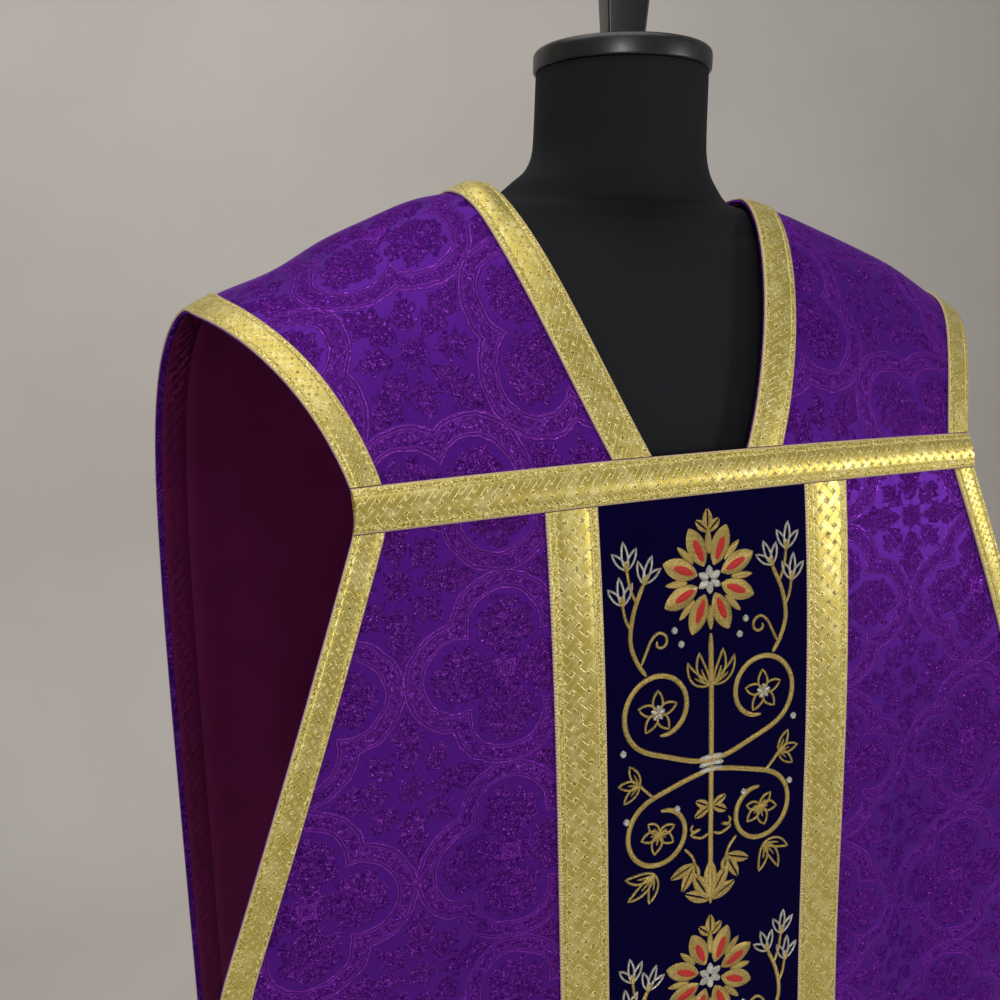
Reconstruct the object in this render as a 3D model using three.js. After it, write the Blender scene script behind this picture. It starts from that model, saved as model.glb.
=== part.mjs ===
// A fiddleback chasuble on a limbless dress form, in millimetres, Z up.
// The origin is on the floor under the middle of the neck, and the front faces -Y.
// +X is the wearer's left.
import * as THREE from 'three';

// Driving sizes of the garment. Cloth height v runs along the cloth from the chest line:
// up over the shoulder ridge and down the back it grows, down the front it is negative.
const chest = { height: 1250, front: 129, bow: 5, bowAt: 230 };
const ridge = { rise: 195.5, fall: 16, curve: 11, from: 100, round: 40, v: 225 };
const yokeRise = { forward: 19.4, up: 72.4, overTop: 50 };
const backTurn = { length: 210, overTop: 55, drop: 165, bend: 0.45, depth: 118, wrap: 0.00035 };
const backDrop = { hem: 1075, flare: 0.035 };
const frontDrop = { hem: 885, sideWrap: 45, wrapAt: 345 };
const hemRise = { side: 30, from: 0.5, power: 4 };

// Half widths of the cloth from the centre line
const chestEnd = 233.5;
const shoulderEnd = 303;
const frontFlare = { slope: 0.37, straight: 230, ease: 70 };
const armhole = { lean: 20, curve: 56, until: 0.9 };
const mostSlant = 1.35;
const backFlare = { swell: 27.5, over: 95, power: 1.3, slope: 0.01 };
const neckFront = { start: 22, spread: 135, ease: 52 };
const neckBack = { half: 60, depth: 95 };

// How the front hangs: lean from upright, in degrees, at heights below the chest line
const frontLean = [
  { below: 0, lean: 10.8 },
  { below: 100, lean: 7.4 },
  { below: 200, lean: 5 },
  { below: 300, lean: 5 },
  { below: 400, lean: 7 },
  { below: 600, lean: 4 },
  { below: 900, lean: 1 },
];
const leanStep = 5;

// Cloth and trim: each layer lies between two distances from the outer face of the damask
const layers = {
  damask: { outer: 0, inner: -1.2 },
  lining: { outer: -1.5, inner: -2.5 },
  velvet: { outer: 1.6, inner: 0.4 },
  galloon: { outer: 1.8, inner: 0.4 },
};
const seamGap = 0.3;
const bandLine = { bottom: 1, top: 26, seam: 24, arch: 2.6, steps: 6 };
const galloonWide = { inner: 79.5, outer: 115.5 };
const galloonNeck = 25;
const galloonEdge = 17.5;
const liningInset = 4;

// How many cells of each sheet lie between its seams, trims and bends
const cells = { strap: 5, side: 3, yoke: 12, neck: 6, shoulder: 3, back: 6, front: 14 };

// The dress form: rings from the hips to the neck. Where a ring touches the shoulder cloth its
// height is left out and follows from its half width.
const formGap = 0.7;
const formRings = [
  { z: 762, half: 172, front: 108, back: 112, power: 2.2 },
  { z: 800, half: 178, front: 112, back: 116, power: 2.2 },
  { z: 900, half: 178, front: 110, back: 112, power: 2.2 },
  { z: 980, half: 166, front: 102, back: 98, power: 2.2 },
  { z: 1040, half: 158, front: 98, back: 90, power: 2.2 },
  { z: 1120, half: 166, front: 106, back: 93, power: 2.2 },
  { z: 1200, half: 180, front: 112, back: 100, power: 2.2 },
  { z: 1270, half: 190, front: 108, back: 106, power: 2.1 },
  { z: 1320, half: 200, front: 92, back: 104, power: 2 },
  { z: 1360, half: 211, front: 74, back: 92, power: 1.85 },
  { z: 1388, half: 216, front: 58, back: 76, power: 1.7 },
  { half: 212, front: 50, back: 60, power: 1.5 },
  { half: 190, front: 46, back: 54, power: 1.35 },
  { half: 165, front: 47, back: 53, power: 1.25 },
  { half: 140, front: 51, back: 55, power: 1.2 },
  { half: 118, front: 55, back: 58, power: 1.2 },
  { half: 98, front: 58, back: 60, power: 1.3 },
  { z: 1450, half: 82, front: 60, back: 62, power: 1.5 },
  { z: 1460, half: 69, front: 60, back: 62, power: 1.8 },
  { z: 1474, half: 62, front: 60, back: 61, power: 2 },
  { z: 1523.7, half: 60, front: 60, back: 60, power: 2 },
];
const formSides = 44;
const cap = { z: 1524, radius: 62, height: 14, round: 3 };
const finial = { bottom: 17.5, top: 27, height: 96, turn: 0.515 };
const pole = { radius: 16, socket: 27, socketHeight: 40, top: 761.7 };
const base = { radius: 205, thick: 16, hub: 46, hubHeight: 34, round: 5 };
const roundSteps = 48;

// Four-point curve from a to d, pulled towards b and c
function pull(a, b, c, d, t) {
  const s = 1 - t;
  return s * s * s * a + 3 * s * s * t * b + 3 * s * t * t * c + t * t * t * d;
}

const ease = (t) => t * t * (3 - 2 * t);
const clamp = (t) => Math.min(1, Math.max(0, t));
const mix = (a, b, t) => a + (b - a) * t;

// Height of the shoulder ridge at a distance x from the centre line
function ridgeHeight(x) {
  const out = (Math.hypot(x, ridge.round) - ridge.from) / 100;
  return chest.height + ridge.rise - ridge.fall * out - ridge.curve * out * out;
}

const chestFront = (x) => -chest.front - chest.bow * (Math.abs(x) / chest.bowAt) ** 2;

// Lean of the front at a distance below the chest line
function leanAt(below) {
  const next = frontLean.findIndex((row) => row.below > below);
  if (next < 0) return frontLean.at(-1).lean;
  const [a, b] = [frontLean[next - 1], frontLean[next]];
  return mix(a.lean, b.lean, (below - a.below) / (b.below - a.below));
}

// Running sums of the lean give how far the front has come forward and down
const frontPath = [{ forward: 0, down: 0 }];
for (let below = 0; below <= frontDrop.hem + 2 * leanStep; below += leanStep) {
  const angle = THREE.MathUtils.degToRad(leanAt(below + leanStep / 2));
  const last = frontPath.at(-1);
  frontPath.push({
    forward: last.forward + leanStep * Math.sin(angle),
    down: last.down + leanStep * Math.cos(angle),
  });
}

// The garment as one surface: a point for a distance x from the centre and a cloth height v
function clothPoint(x, v) {
  if (v < 0) {
    const step = -v / leanStep;
    const [a, b] = [frontPath[Math.floor(step)], frontPath[Math.floor(step) + 1]];
    const part = step - Math.floor(step);
    const wrap = frontDrop.sideWrap * (v / frontDrop.hem) ** 2 * (x / frontDrop.wrapAt) ** 2;
    const y = chestFront(x) - mix(a.forward, b.forward, part) + wrap;
    return new THREE.Vector3(x, y, chest.height - mix(a.down, b.down, part));
  }
  const top = ridgeHeight(x);
  if (v < ridge.v) {
    const t = v / ridge.v;
    const y0 = chestFront(x);
    const y = pull(y0, y0 + yokeRise.forward, -yokeRise.overTop, 0, t);
    const z = pull(chest.height, chest.height + yokeRise.up, top, top, t);
    return new THREE.Vector3(x, y, z);
  }
  const past = v - ridge.v;
  const t = Math.min(1, past / backTurn.length);
  const depth = backTurn.depth - backTurn.wrap * x * x;
  const below = Math.max(0, past - backTurn.length);
  const y = pull(0, backTurn.overTop, depth, depth, t) + backDrop.flare * below;
  const z = pull(top, top, top - backTurn.bend * backTurn.drop, top - backTurn.drop, t) - below;
  return new THREE.Vector3(x, y, z);
}

// Outward direction of the surface, square to two short steps along it
function clothNormal(x, v) {
  const step = 0.5;
  const along = clothPoint(x + step, v).sub(clothPoint(x - step, v));
  const up = clothPoint(x, v + step).sub(clothPoint(x, v - step));
  return along.cross(up).normalize();
}

// Half width of the cloth at a height v: front side, armhole, then the side of the back
function outerEdge(v) {
  if (v <= 0) {
    const below = -v;
    const extra = Math.max(0, below - frontFlare.straight);
    const run = Math.min(below, frontFlare.straight);
    const eased = frontFlare.ease * (1 - Math.exp(-extra / frontFlare.ease));
    return chestEnd + frontFlare.slope * (run + eased);
  }
  if (v >= ridge.v) {
    const past = v - ridge.v;
    const swell = 1 - Math.exp(-((past / backFlare.over) ** backFlare.power));
    return shoulderEnd + backFlare.swell * swell + backFlare.slope * past;
  }
  const t = v / ridge.v;
  const curve = ease(clamp(t / armhole.until));
  const side = shoulderEnd - armhole.lean * (1 - t) - armhole.curve * (1 - curve);
  return v < bandLine.top ? mix(chestEnd, side, v / bandLine.top) : side;
}

// Half width of the neck opening: the straight slope in front, the round at the back
function neckEdge(v) {
  if (v <= ridge.v) {
    const t = v / ridge.v;
    return neckFront.start + neckFront.spread * t - neckFront.ease * t * t;
  }
  const atRidge = neckFront.start + neckFront.spread - neckFront.ease;
  const down = clamp((v - ridge.v) / neckBack.depth);
  return neckBack.half + (atRidge - neckBack.half) * Math.sqrt(1 - down * down);
}

// A width measured square to a slanting edge takes this much more across
function slant(edge, v) {
  const step = 2;
  const slope = (edge(v + step) - edge(v - step)) / (2 * step);
  return Math.min(mostSlant, Math.hypot(1, slope));
}

// Columns of the back panel at a height v, from its right side to its left
function backColumns(v) {
  const outer = outerEdge(v);
  const neck = neckEdge(v);
  const wide = slant(outerEdge, v);
  const lean = v < ridge.v ? slant(neckEdge, v) : 1;
  const trim = outer - galloonEdge * wide;
  const collar = neck + galloonNeck * lean;
  const half = [outer, outer - liningInset * wide, trim];
  for (let k = 1; k < cells.strap; k += 1) half.push(mix(trim, collar, k / cells.strap));
  half.push(collar, neck + liningInset * lean, neck, neckBack.half / 2);
  return [...half.map((x) => -x), 0, ...half.reverse()];
}

// Columns of the front panel: fixed beside the orphrey, spread out towards the sides
function frontColumns(v) {
  const outer = outerEdge(v);
  const wide = v < 0 ? slant(outerEdge, v) : 1;
  const trim = outer - galloonEdge * wide;
  const half = [outer, outer - liningInset * wide, trim];
  for (let k = 1; k < cells.side; k += 1) half.push(mix(trim, galloonWide.outer, k / cells.side));
  half.push(galloonWide.outer, galloonWide.inner, galloonWide.inner - seamGap);
  half.push(galloonWide.inner / 2);
  return [...half.map((x) => -x), 0, ...half.reverse()];
}

// Rows of cloth heights from one value to another, without the first
function steps(from, to, count) {
  return Array.from({ length: count }, (_, k) => mix(from, to, (k + 1) / count));
}

const backHem = ridge.v + backDrop.hem;
const neckEnd = ridge.v + neckBack.depth;
const backRows = [
  bandLine.seam + seamGap / 2,
  bandLine.top + seamGap,
  ...steps(bandLine.top + seamGap, ridge.v, cells.yoke),
  ...steps(ridge.v, neckEnd, cells.neck),
  neckEnd + liningInset,
  neckEnd + galloonNeck,
  ...steps(neckEnd + galloonNeck, ridge.v + backTurn.length, cells.shoulder),
  ...steps(ridge.v + backTurn.length, backHem - galloonEdge, cells.back),
  backHem - liningInset,
  backHem,
];
const frontRows = [
  bandLine.seam - seamGap / 2,
  bandLine.bottom - seamGap,
  ...steps(0, galloonEdge - frontDrop.hem, cells.front),
  liningInset - frontDrop.hem,
  -frontDrop.hem,
];

// The hems rise a little towards the sides: rows near the hem are drawn up with it
function hemShift(x, v) {
  const down = v < 0 ? -v / frontDrop.hem : (v - ridge.v) / backDrop.hem;
  const low = clamp((down - hemRise.from) / (1 - hemRise.from));
  const side = Math.abs(x) / outerEdge(v);
  return -Math.sign(v) * hemRise.side * side ** hemRise.power * low * low;
}

// A grid of nodes (x, v) from rows of heights and the columns at each height
function sheetGrid(rows, columnsAt) {
  return rows.map((v) => columnsAt(v).map((x) => ({ x, v: v + hemShift(x, v) })));
}

const lift = (node, distance) =>
  clothPoint(node.x, node.v).addScaledVector(clothNormal(node.x, node.v), distance);

// A closed wall over the kept cells of a grid, between two distances from the surface.
// An edge that belongs to one kept cell alone gets a rim between the two faces.
function clothWall(grid, keep, layer) {
  const rows = grid.length;
  const columns = grid[0].length;
  const positions = [];
  const indices = [];
  const numbers = new Map();
  const outerAt = typeof layer.outer === 'function' ? layer.outer : () => layer.outer;
  const vertex = (j, i, outside) => {
    const key = (j * columns + i) * 2 + (outside ? 1 : 0);
    if (!numbers.has(key)) {
      numbers.set(key, positions.length / 3);
      const distance = outside ? outerAt(grid[j][i]) : layer.inner;
      positions.push(...lift(grid[j][i], distance).toArray());
    }
    return numbers.get(key);
  };
  const quad = (a, b, c, d) => indices.push(a, b, c, a, c, d);
  const kept = (j, i) => j >= 0 && i >= 0 && j < rows - 1 && i < columns - 1 && keep(j, i);
  const edges = [
    { near: [-1, 0], from: [0, 0], to: [0, 1] },
    { near: [0, 1], from: [0, 1], to: [1, 1] },
    { near: [1, 0], from: [1, 1], to: [1, 0] },
    { near: [0, -1], from: [1, 0], to: [0, 0] },
  ];
  for (let j = 0; j < rows - 1; j += 1) {
    for (let i = 0; i < columns - 1; i += 1) {
      if (!kept(j, i)) continue;
      const ring = [[j, i], [j, i + 1], [j + 1, i + 1], [j + 1, i]];
      const [a, b, c, d] = ring.map(([row, column]) => vertex(row, column, true));
      const [e, f, g, h] = ring.map(([row, column]) => vertex(row, column, false));
      quad(a, b, c, d);
      quad(e, h, g, f);
      for (const { near, from, to } of edges) {
        if (kept(j + near[0], i + near[1])) continue;
        const start = [j + from[0], i + from[1]];
        const end = [j + to[0], i + to[1]];
        const under = [vertex(...start, false), vertex(...end, false)];
        quad(...under, vertex(...end, true), vertex(...start, true));
      }
    }
  }
  return closedGeometry(positions, indices);
}

// A geometry whose faces point out of the solid
function closedGeometry(positions, indices) {
  const corner = (n) => new THREE.Vector3().fromArray(positions, 3 * n);
  let volume = 0;
  for (let k = 0; k < indices.length; k += 3) {
    const [a, b, c] = [0, 1, 2].map((n) => corner(indices[k + n]));
    volume += a.dot(b.cross(c));
  }
  const ordered = volume > 0 ? indices : indices.toReversed();
  const geometry = new THREE.BufferGeometry();
  geometry.setAttribute('position', new THREE.Float32BufferAttribute(positions, 3));
  geometry.setIndex(ordered);
  geometry.computeVertexNormals();
  return geometry;
}

// The dress form: closed rings of a rounded section, joined up and shut with flat ends
function formGeometry() {
  const positions = [];
  const indices = [];
  formRings.forEach((ring) => {
    const under = formGap - layers.lining.inner;
    const z = ring.z ?? ridgeHeight(ring.half) - under;
    for (let k = 0; k < formSides; k += 1) {
      const angle = (2 * Math.PI * k) / formSides;
      const [s, c] = [Math.sin(angle), Math.cos(angle)];
      const depth = c < 0 ? ring.front : ring.back;
      const x = Math.sign(s) * ring.half * Math.abs(s) ** (2 / ring.power);
      const y = Math.sign(c) * depth * Math.abs(c) ** (2 / ring.power);
      positions.push(x, y, z);
    }
  });
  const last = formRings.length - 1;
  for (let j = 0; j < last; j += 1) {
    for (let k = 0; k < formSides; k += 1) {
      const [a, b] = [j * formSides + k, j * formSides + ((k + 1) % formSides)];
      indices.push(a, a + formSides, b + formSides, a, b + formSides, b);
    }
  }
  for (const [j, turn] of [[0, false], [last, true]]) {
    const middle = positions.length / 3;
    positions.push(0, 0, positions[3 * j * formSides + 2]);
    for (let k = 0; k < formSides; k += 1) {
      const [a, b] = [j * formSides + k, j * formSides + ((k + 1) % formSides)];
      indices.push(...(turn ? [middle, b, a] : [middle, a, b]));
    }
  }
  return closedGeometry(positions, indices);
}

// A turned solid: the profile is a list of [radius, height] from the axis back to the axis
function turned(profile) {
  const points = profile.map(([r, z]) => new THREE.Vector2(r, z));
  const geometry = new THREE.LatheGeometry(points, roundSteps);
  geometry.rotateX(Math.PI / 2);
  return geometry;
}

const fabric = (color, roughness, metalness = 0) =>
  new THREE.MeshStandardMaterial({ color, roughness, metalness });
const materials = {
  damask: fabric(0x4b1a80, 0.55),
  lining: fabric(0x3a0c2c, 0.6),
  velvet: fabric(0x0c0030, 0.9),
  gold: fabric(0xc3ab55, 0.4, 0.6),
  jersey: fabric(0x19191c, 0.85),
  lacquer: fabric(0x202022, 0.35),
  steel: fabric(0x1c1c1e, 0.45, 0.3),
};

const group = new THREE.Group();
function add(name, geometry, material) {
  const mesh = new THREE.Mesh(geometry, material);
  mesh.name = name;
  group.add(mesh);
}

// Which cells of a grid a piece keeps, by its first and last row and column line
const range = (rows, columns) => (j, i) =>
  j >= rows[0] && j < rows[1] && i >= columns[0] && i < columns[1];

const backGrid = sheetGrid(backRows, backColumns);
const backLast = { row: backGrid.length - 1, column: backGrid[0].length - 1 };
const backMiddle = backLast.column / 2;
const neckRow = backRows.indexOf(neckEnd);
// Cells counted from the centre line: the neck opening takes the first two
const neckCells = { open: 2, turned: 3, trim: 4 };
const fromCentre = (i) => (i < backMiddle ? backMiddle - 1 - i : i - backMiddle);
const openNeck = (j, i) => j < neckRow && fromCentre(i) < neckCells.open;
add('back_panel', clothWall(backGrid, (j, i) => !openNeck(j, i), layers.damask), materials.damask);

// The lining stops short of every free edge, where the damask turns under
function lined(j, i) {
  const bySide = i < 1 || i >= backLast.column - 1 || j >= backLast.row - 1;
  const byNeck = j < neckRow + 1 && fromCentre(i) < neckCells.turned;
  return !bySide && !byNeck;
}
add('back_lining', clothWall(backGrid, lined, layers.lining), materials.lining);

const frontGrid = sheetGrid(frontRows, frontColumns);
const frontLast = { row: frontGrid.length - 1, column: frontGrid[0].length - 1 };
add('front_panel', clothWall(frontGrid, () => true, layers.damask), materials.damask);
const frontLined = range([0, frontLast.row - 1], [1, frontLast.column - 1]);
add('front_lining', clothWall(frontGrid, frontLined, layers.lining), materials.lining);

// Galloon round the neck opening, from the chest band over the shoulders and behind the neck
const collarRow = backRows.indexOf(neckEnd + galloonNeck);
function neckTrim(j, i) {
  return j >= 1 && j < collarRow && fromCentre(i) < neckCells.trim && !openNeck(j, i);
}
add('neck_galloon', clothWall(backGrid, neckTrim, layers.galloon), materials.gold);

// Galloon on each armhole, on down the side of the back to the hem, and along the hem
const trimColumns = 2;
const backTrimRow = backRows.indexOf(backHem - galloonEdge);
const backHemGrid = sheetGrid(
  [backHem - galloonEdge + seamGap, backHem - liningInset, backHem],
  backColumns,
);
const frontHemGrid = sheetGrid(
  [galloonEdge - seamGap - frontDrop.hem, liningInset - frontDrop.hem, -frontDrop.hem],
  frontColumns,
);
const sides = [
  { side: 'right', edge: () => [0, trimColumns] },
  { side: 'left', edge: (last) => [last - trimColumns, last] },
];
const frontTrimRow = frontRows.indexOf(galloonEdge - frontDrop.hem);
for (const { side, edge } of sides) {
  const armholeTrim = range([1, backTrimRow], edge(backLast.column));
  add(`armhole_galloon_${side}`, clothWall(backGrid, armholeTrim, layers.galloon), materials.gold);
  const frontTrim = range([1, frontTrimRow], edge(frontLast.column));
  add(`front_galloon_${side}`, clothWall(frontGrid, frontTrim, layers.galloon), materials.gold);
}
add('back_hem_galloon', clothWall(backHemGrid, () => true, layers.galloon), materials.gold);
add('front_hem_galloon', clothWall(frontHemGrid, () => true, layers.galloon), materials.gold);

// The orphrey: a velvet panel down the middle of the front between two wide galloons
const orphreyColumns = { outer: 5, inner: 6, velvet: 7 };
const mirrored = ([a, b]) => [frontLast.column - b, frontLast.column - a];
const wideColumns = [orphreyColumns.outer, orphreyColumns.inner];
const velvetColumns = [orphreyColumns.velvet, frontLast.column - orphreyColumns.velvet];
const orphreyRows = [1, frontTrimRow];
const velvetCells = range(orphreyRows, velvetColumns);
add('orphrey_velvet', clothWall(frontGrid, velvetCells, layers.velvet), materials.velvet);
for (const [side, columns] of [['right', wideColumns], ['left', mirrored(wideColumns)]]) {
  const cells = range(orphreyRows, columns);
  add(`orphrey_galloon_${side}`, clothWall(frontGrid, cells, layers.galloon), materials.gold);
}

// The band across the chest: a rounded galloon over the seam of yoke and front
const bandRows = steps(bandLine.bottom, bandLine.top, bandLine.steps);
const bandGrid = sheetGrid([bandLine.bottom, ...bandRows], frontColumns);
const bandWidth = bandLine.top - bandLine.bottom;
const bandLayer = {
  inner: layers.galloon.inner,
  outer: ({ v }) => {
    const across = (2 * (v - bandLine.bottom)) / bandWidth - 1;
    return layers.galloon.outer + bandLine.arch * (1 - across * across);
  },
};
add('chest_band', clothWall(bandGrid, () => true, bandLayer), materials.gold);

// The form, its neck cap and finial, and the stand
add('form_body', formGeometry(), materials.jersey);
const capTop = cap.z + cap.height;
add('neck_cap', turned([
  [0, cap.z],
  [cap.radius - cap.round, cap.z],
  [cap.radius, cap.z + cap.round],
  [cap.radius, capTop - cap.round],
  [cap.radius - cap.round, capTop],
  [0, capTop],
]), materials.lacquer);

const knob = new THREE.CylinderGeometry(finial.top, finial.bottom, finial.height, 4);
knob.rotateX(Math.PI / 2);
knob.rotateZ(finial.turn);
knob.translate(0, 0, capTop + seamGap + finial.height / 2);
add('finial', knob, materials.lacquer);

const socketFoot = pole.top - pole.socketHeight;
const hubTop = base.thick + base.hubHeight;
add('form_socket', turned([
  [0, socketFoot],
  [pole.socket, socketFoot],
  [pole.socket, pole.top],
  [0, pole.top],
]), materials.steel);
add('stand_pole', turned([
  [0, hubTop + seamGap],
  [pole.radius, hubTop + seamGap],
  [pole.radius, socketFoot - seamGap],
  [0, socketFoot - seamGap],
]), materials.steel);
add('base_hub', turned([
  [0, base.thick + seamGap],
  [base.hub, base.thick + seamGap],
  [pole.socket, hubTop],
  [0, hubTop],
]), materials.steel);
add('stand_base', turned([
  [0, 0],
  [base.radius, 0],
  [base.radius, base.thick - base.round],
  [base.radius - base.round, base.thick],
  [0, base.thick],
]), materials.steel);

export default group;
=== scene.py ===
import math

import bpy
import numpy as np
from mathutils import Matrix, Vector


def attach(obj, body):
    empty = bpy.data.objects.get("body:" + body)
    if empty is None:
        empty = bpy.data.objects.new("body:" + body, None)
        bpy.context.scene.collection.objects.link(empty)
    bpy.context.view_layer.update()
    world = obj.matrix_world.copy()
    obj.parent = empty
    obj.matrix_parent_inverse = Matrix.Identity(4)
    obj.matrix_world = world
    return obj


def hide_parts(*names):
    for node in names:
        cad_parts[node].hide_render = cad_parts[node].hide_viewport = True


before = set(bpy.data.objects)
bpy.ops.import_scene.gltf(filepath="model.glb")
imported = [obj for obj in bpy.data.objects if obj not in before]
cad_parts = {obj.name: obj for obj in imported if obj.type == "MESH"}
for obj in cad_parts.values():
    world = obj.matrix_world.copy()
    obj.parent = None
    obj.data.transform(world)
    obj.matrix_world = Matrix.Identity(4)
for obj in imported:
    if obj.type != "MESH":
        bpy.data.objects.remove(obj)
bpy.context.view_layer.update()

# A fiddleback chasuble of violet damask on a limbless dress form.
# Sizes are in millimetres, as in the drawing, and turn to metres when a mesh is made.
metre = 0.001
print("frame loaded:", len(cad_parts), "nodes")


# The garment as one surface.
# x is the distance from the centre line, v the height along the cloth: 0 at the chest seam,
# growing over the shoulder ridge and down the back, negative down the front.
cut = {
    "chestHeight": 1250,
    "chestFront": 129,
    "chestBow": 5,
    "bowAt": 230,
    "ridgeRise": 195.5,
    "ridgeFall": 16,
    "ridgeCurve": 11,
    "ridgeFrom": 100,
    "ridgeRound": 40,
    "ridgeV": 225,
    "yokeForward": 19.4,
    "yokeUp": 72.4,
    "yokeOverTop": 50,
    "turnLength": 210,
    "turnOverTop": 55,
    "turnDrop": 165,
    "turnBend": 0.45,
    "backDepth": 118,
    "backWrap": 0.00035,
    "backHem": 1075,
    "backFlare": 0.035,
    "frontHem": 885,
    "sideWrap": 45,
    "wrapAt": 345,
    "hemRise": 30,
    "hemRiseFrom": 0.5,
    "hemRisePower": 4,
    "chestEnd": 233.5,
    "shoulderEnd": 303,
    "flareSlope": 0.37,
    "flareStraight": 230,
    "flareEase": 70,
    "armholeLean": 20,
    "armholeCurve": 56,
    "armholeUntil": 0.9,
    "backSwell": 27.5,
    "swellOver": 95,
    "swellPower": 1.3,
    "backSlope": 0.01,
    "neckStart": 22,
    "neckSpread": 135,
    "neckEase": 52,
    "neckBackHalf": 60,
    "neckBackDepth": 95,
    "mostSlant": 1.35,
    "leanAt": [0, 100, 200, 300, 400, 600, 900],
    "lean": [10.8, 7.4, 5, 5, 7, 4, 1],
    "leanStep": 5,
}
seamLine = {"bandBottom": 1, "seam": 24, "bandTop": 26, "bandArch": 2.6, "gap": 0.3}
braidWidth = {"neck": 25, "edge": 17.5, "orphreyInner": 79.5, "orphreyOuter": 115.5}
liningInset = 4
layers = {"damask": (0, -1.2), "lining": (-1.5, -2.5), "velvet": (1.6, 0.4), "galloon": (1.8, 0.4)}

pathStops = np.arange(0, cut["frontHem"] + 3 * cut["leanStep"], cut["leanStep"])
pathLean = np.radians(np.interp(pathStops[:-1] + cut["leanStep"] / 2, cut["leanAt"], cut["lean"]))
pathForward = np.concatenate([[0], np.cumsum(cut["leanStep"] * np.sin(pathLean))])
pathDown = np.concatenate([[0], np.cumsum(cut["leanStep"] * np.cos(pathLean))])


# Four-point curve: (1-t)^3 a + 3(1-t)^2 t b + 3(1-t) t^2 c + t^3 d
def pull(a, b, c, d, t):
    s = 1 - t
    return s**3 * a + 3 * s * s * t * b + 3 * s * t * t * c + t**3 * d


# Smooth step of t held between 0 and 1: t^2 (3 - 2t)
def ease(t):
    t = np.clip(t, 0, 1)
    return t * t * (3 - 2 * t)


# Height of the shoulder ridge: a round top that falls off with the square of the distance out
def ridgeHeight(x):
    out = (np.hypot(x, cut["ridgeRound"]) - cut["ridgeFrom"]) / 100
    return cut["chestHeight"] + cut["ridgeRise"] - cut["ridgeFall"] * out - cut["ridgeCurve"] * out**2


# A point of the cloth: the front follows running sums of its lean, the yoke and the turn over the
# back are four-point curves from the chest to the ridge and down, and the back hangs straight
def clothPoint(x, v):
    x, v = np.broadcast_arrays(np.asarray(x, float), np.asarray(v, float))
    top = ridgeHeight(x)
    chestY = -cut["chestFront"] - cut["chestBow"] * (np.abs(x) / cut["bowAt"]) ** 2
    below = np.maximum(0, -v)
    wrap = cut["sideWrap"] * (below / cut["frontHem"]) ** 2 * (x / cut["wrapAt"]) ** 2
    frontY = chestY - np.interp(below, pathStops, pathForward) + wrap
    frontZ = cut["chestHeight"] - np.interp(below, pathStops, pathDown)
    t = np.clip(v / cut["ridgeV"], 0, 1)
    yokeY = pull(chestY, chestY + cut["yokeForward"], -cut["yokeOverTop"], 0, t)
    yokeZ = pull(cut["chestHeight"], cut["chestHeight"] + cut["yokeUp"], top, top, t)
    past = np.maximum(0, v - cut["ridgeV"])
    t = np.minimum(1, past / cut["turnLength"])
    lower = np.maximum(0, past - cut["turnLength"])
    depth = cut["backDepth"] - cut["backWrap"] * x * x
    backY = pull(0, cut["turnOverTop"], depth, depth, t) + cut["backFlare"] * lower
    bend = top - cut["turnBend"] * cut["turnDrop"]
    backZ = pull(top, top, bend, top - cut["turnDrop"], t) - lower
    y = np.where(v < 0, frontY, np.where(v < cut["ridgeV"], yokeY, backY))
    z = np.where(v < 0, frontZ, np.where(v < cut["ridgeV"], yokeZ, backZ))
    return np.stack([x, y, z], -1)


# Outward direction of a surface: the cross product of short steps across and along it
def outward(surface, x, v, step=0.5):
    across = surface(x + step, v) - surface(x - step, v)
    along = surface(x, v + step) - surface(x, v - step)
    normal = np.cross(across, along)
    return normal / np.linalg.norm(normal, axis=-1, keepdims=True)


# Soft troughs and ridges, listed one by one: each runs from one point (x, v) to another, and has its
# half width and its height. They fade over a share of their length at both ends.
creases = [
    (-256, 60, -244, 400, 28, -5), (-158, 90, -142, 390, 30, 3.8), (-115, 140, -110, 320, 12, 5),
    (-190, 30, -168, 170, 18, -2), (180, 60, 168, 380, 34, -1.3), (236, 90, 250, 330, 20, 1.5),
    (-150, -30, -168, -470, 22, -5), (-196, -50, -232, -620, 30, 4.5), (-262, -230, -300, -840, 34, -6),
    (-140, -420, -150, -880, 28, 5), (143, -60, 160, -560, 24, 4), (190, -120, 226, -800, 30, -5.5),
    (262, -260, 300, -860, 32, 5), (150, -520, 138, -880, 26, -4), (24, -160, -12, -880, 46, 2.5),
    (-236, 400, -262, 1240, 38, -5), (-150, 470, -128, 1280, 34, 5), (-30, 430, -52, 1100, 40, -4),
    (66, 520, 84, 1290, 36, 4.5), (170, 400, 150, 1180, 32, -5), (246, 460, 280, 1280, 36, 5),
]
creaseFade = 0.35


# Size times exp(-(across/width)^2), eased in and out along the line
def creaseHeight(x, v):
    height = np.zeros(np.broadcast(x, v).shape)
    for startX, startV, endX, endV, width, size in creases:
        span = math.hypot(endX - startX, endV - startV)
        alongX, alongV = (endX - startX) / span, (endV - startV) / span
        along = ((x - startX) * alongX + (v - startV) * alongV) / span
        across = (v - startV) * alongX - (x - startX) * alongV
        fade = ease(along / creaseFade) * ease((1 - along) / creaseFade)
        height = height + size * np.exp(-((across / width) ** 2)) * fade
    return height


# The cloth with its creases: the smooth point moved out along its own normal
def drapedPoint(x, v):
    return clothPoint(x, v) + outward(clothPoint, x, v) * creaseHeight(x, v)[..., None]


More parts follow.
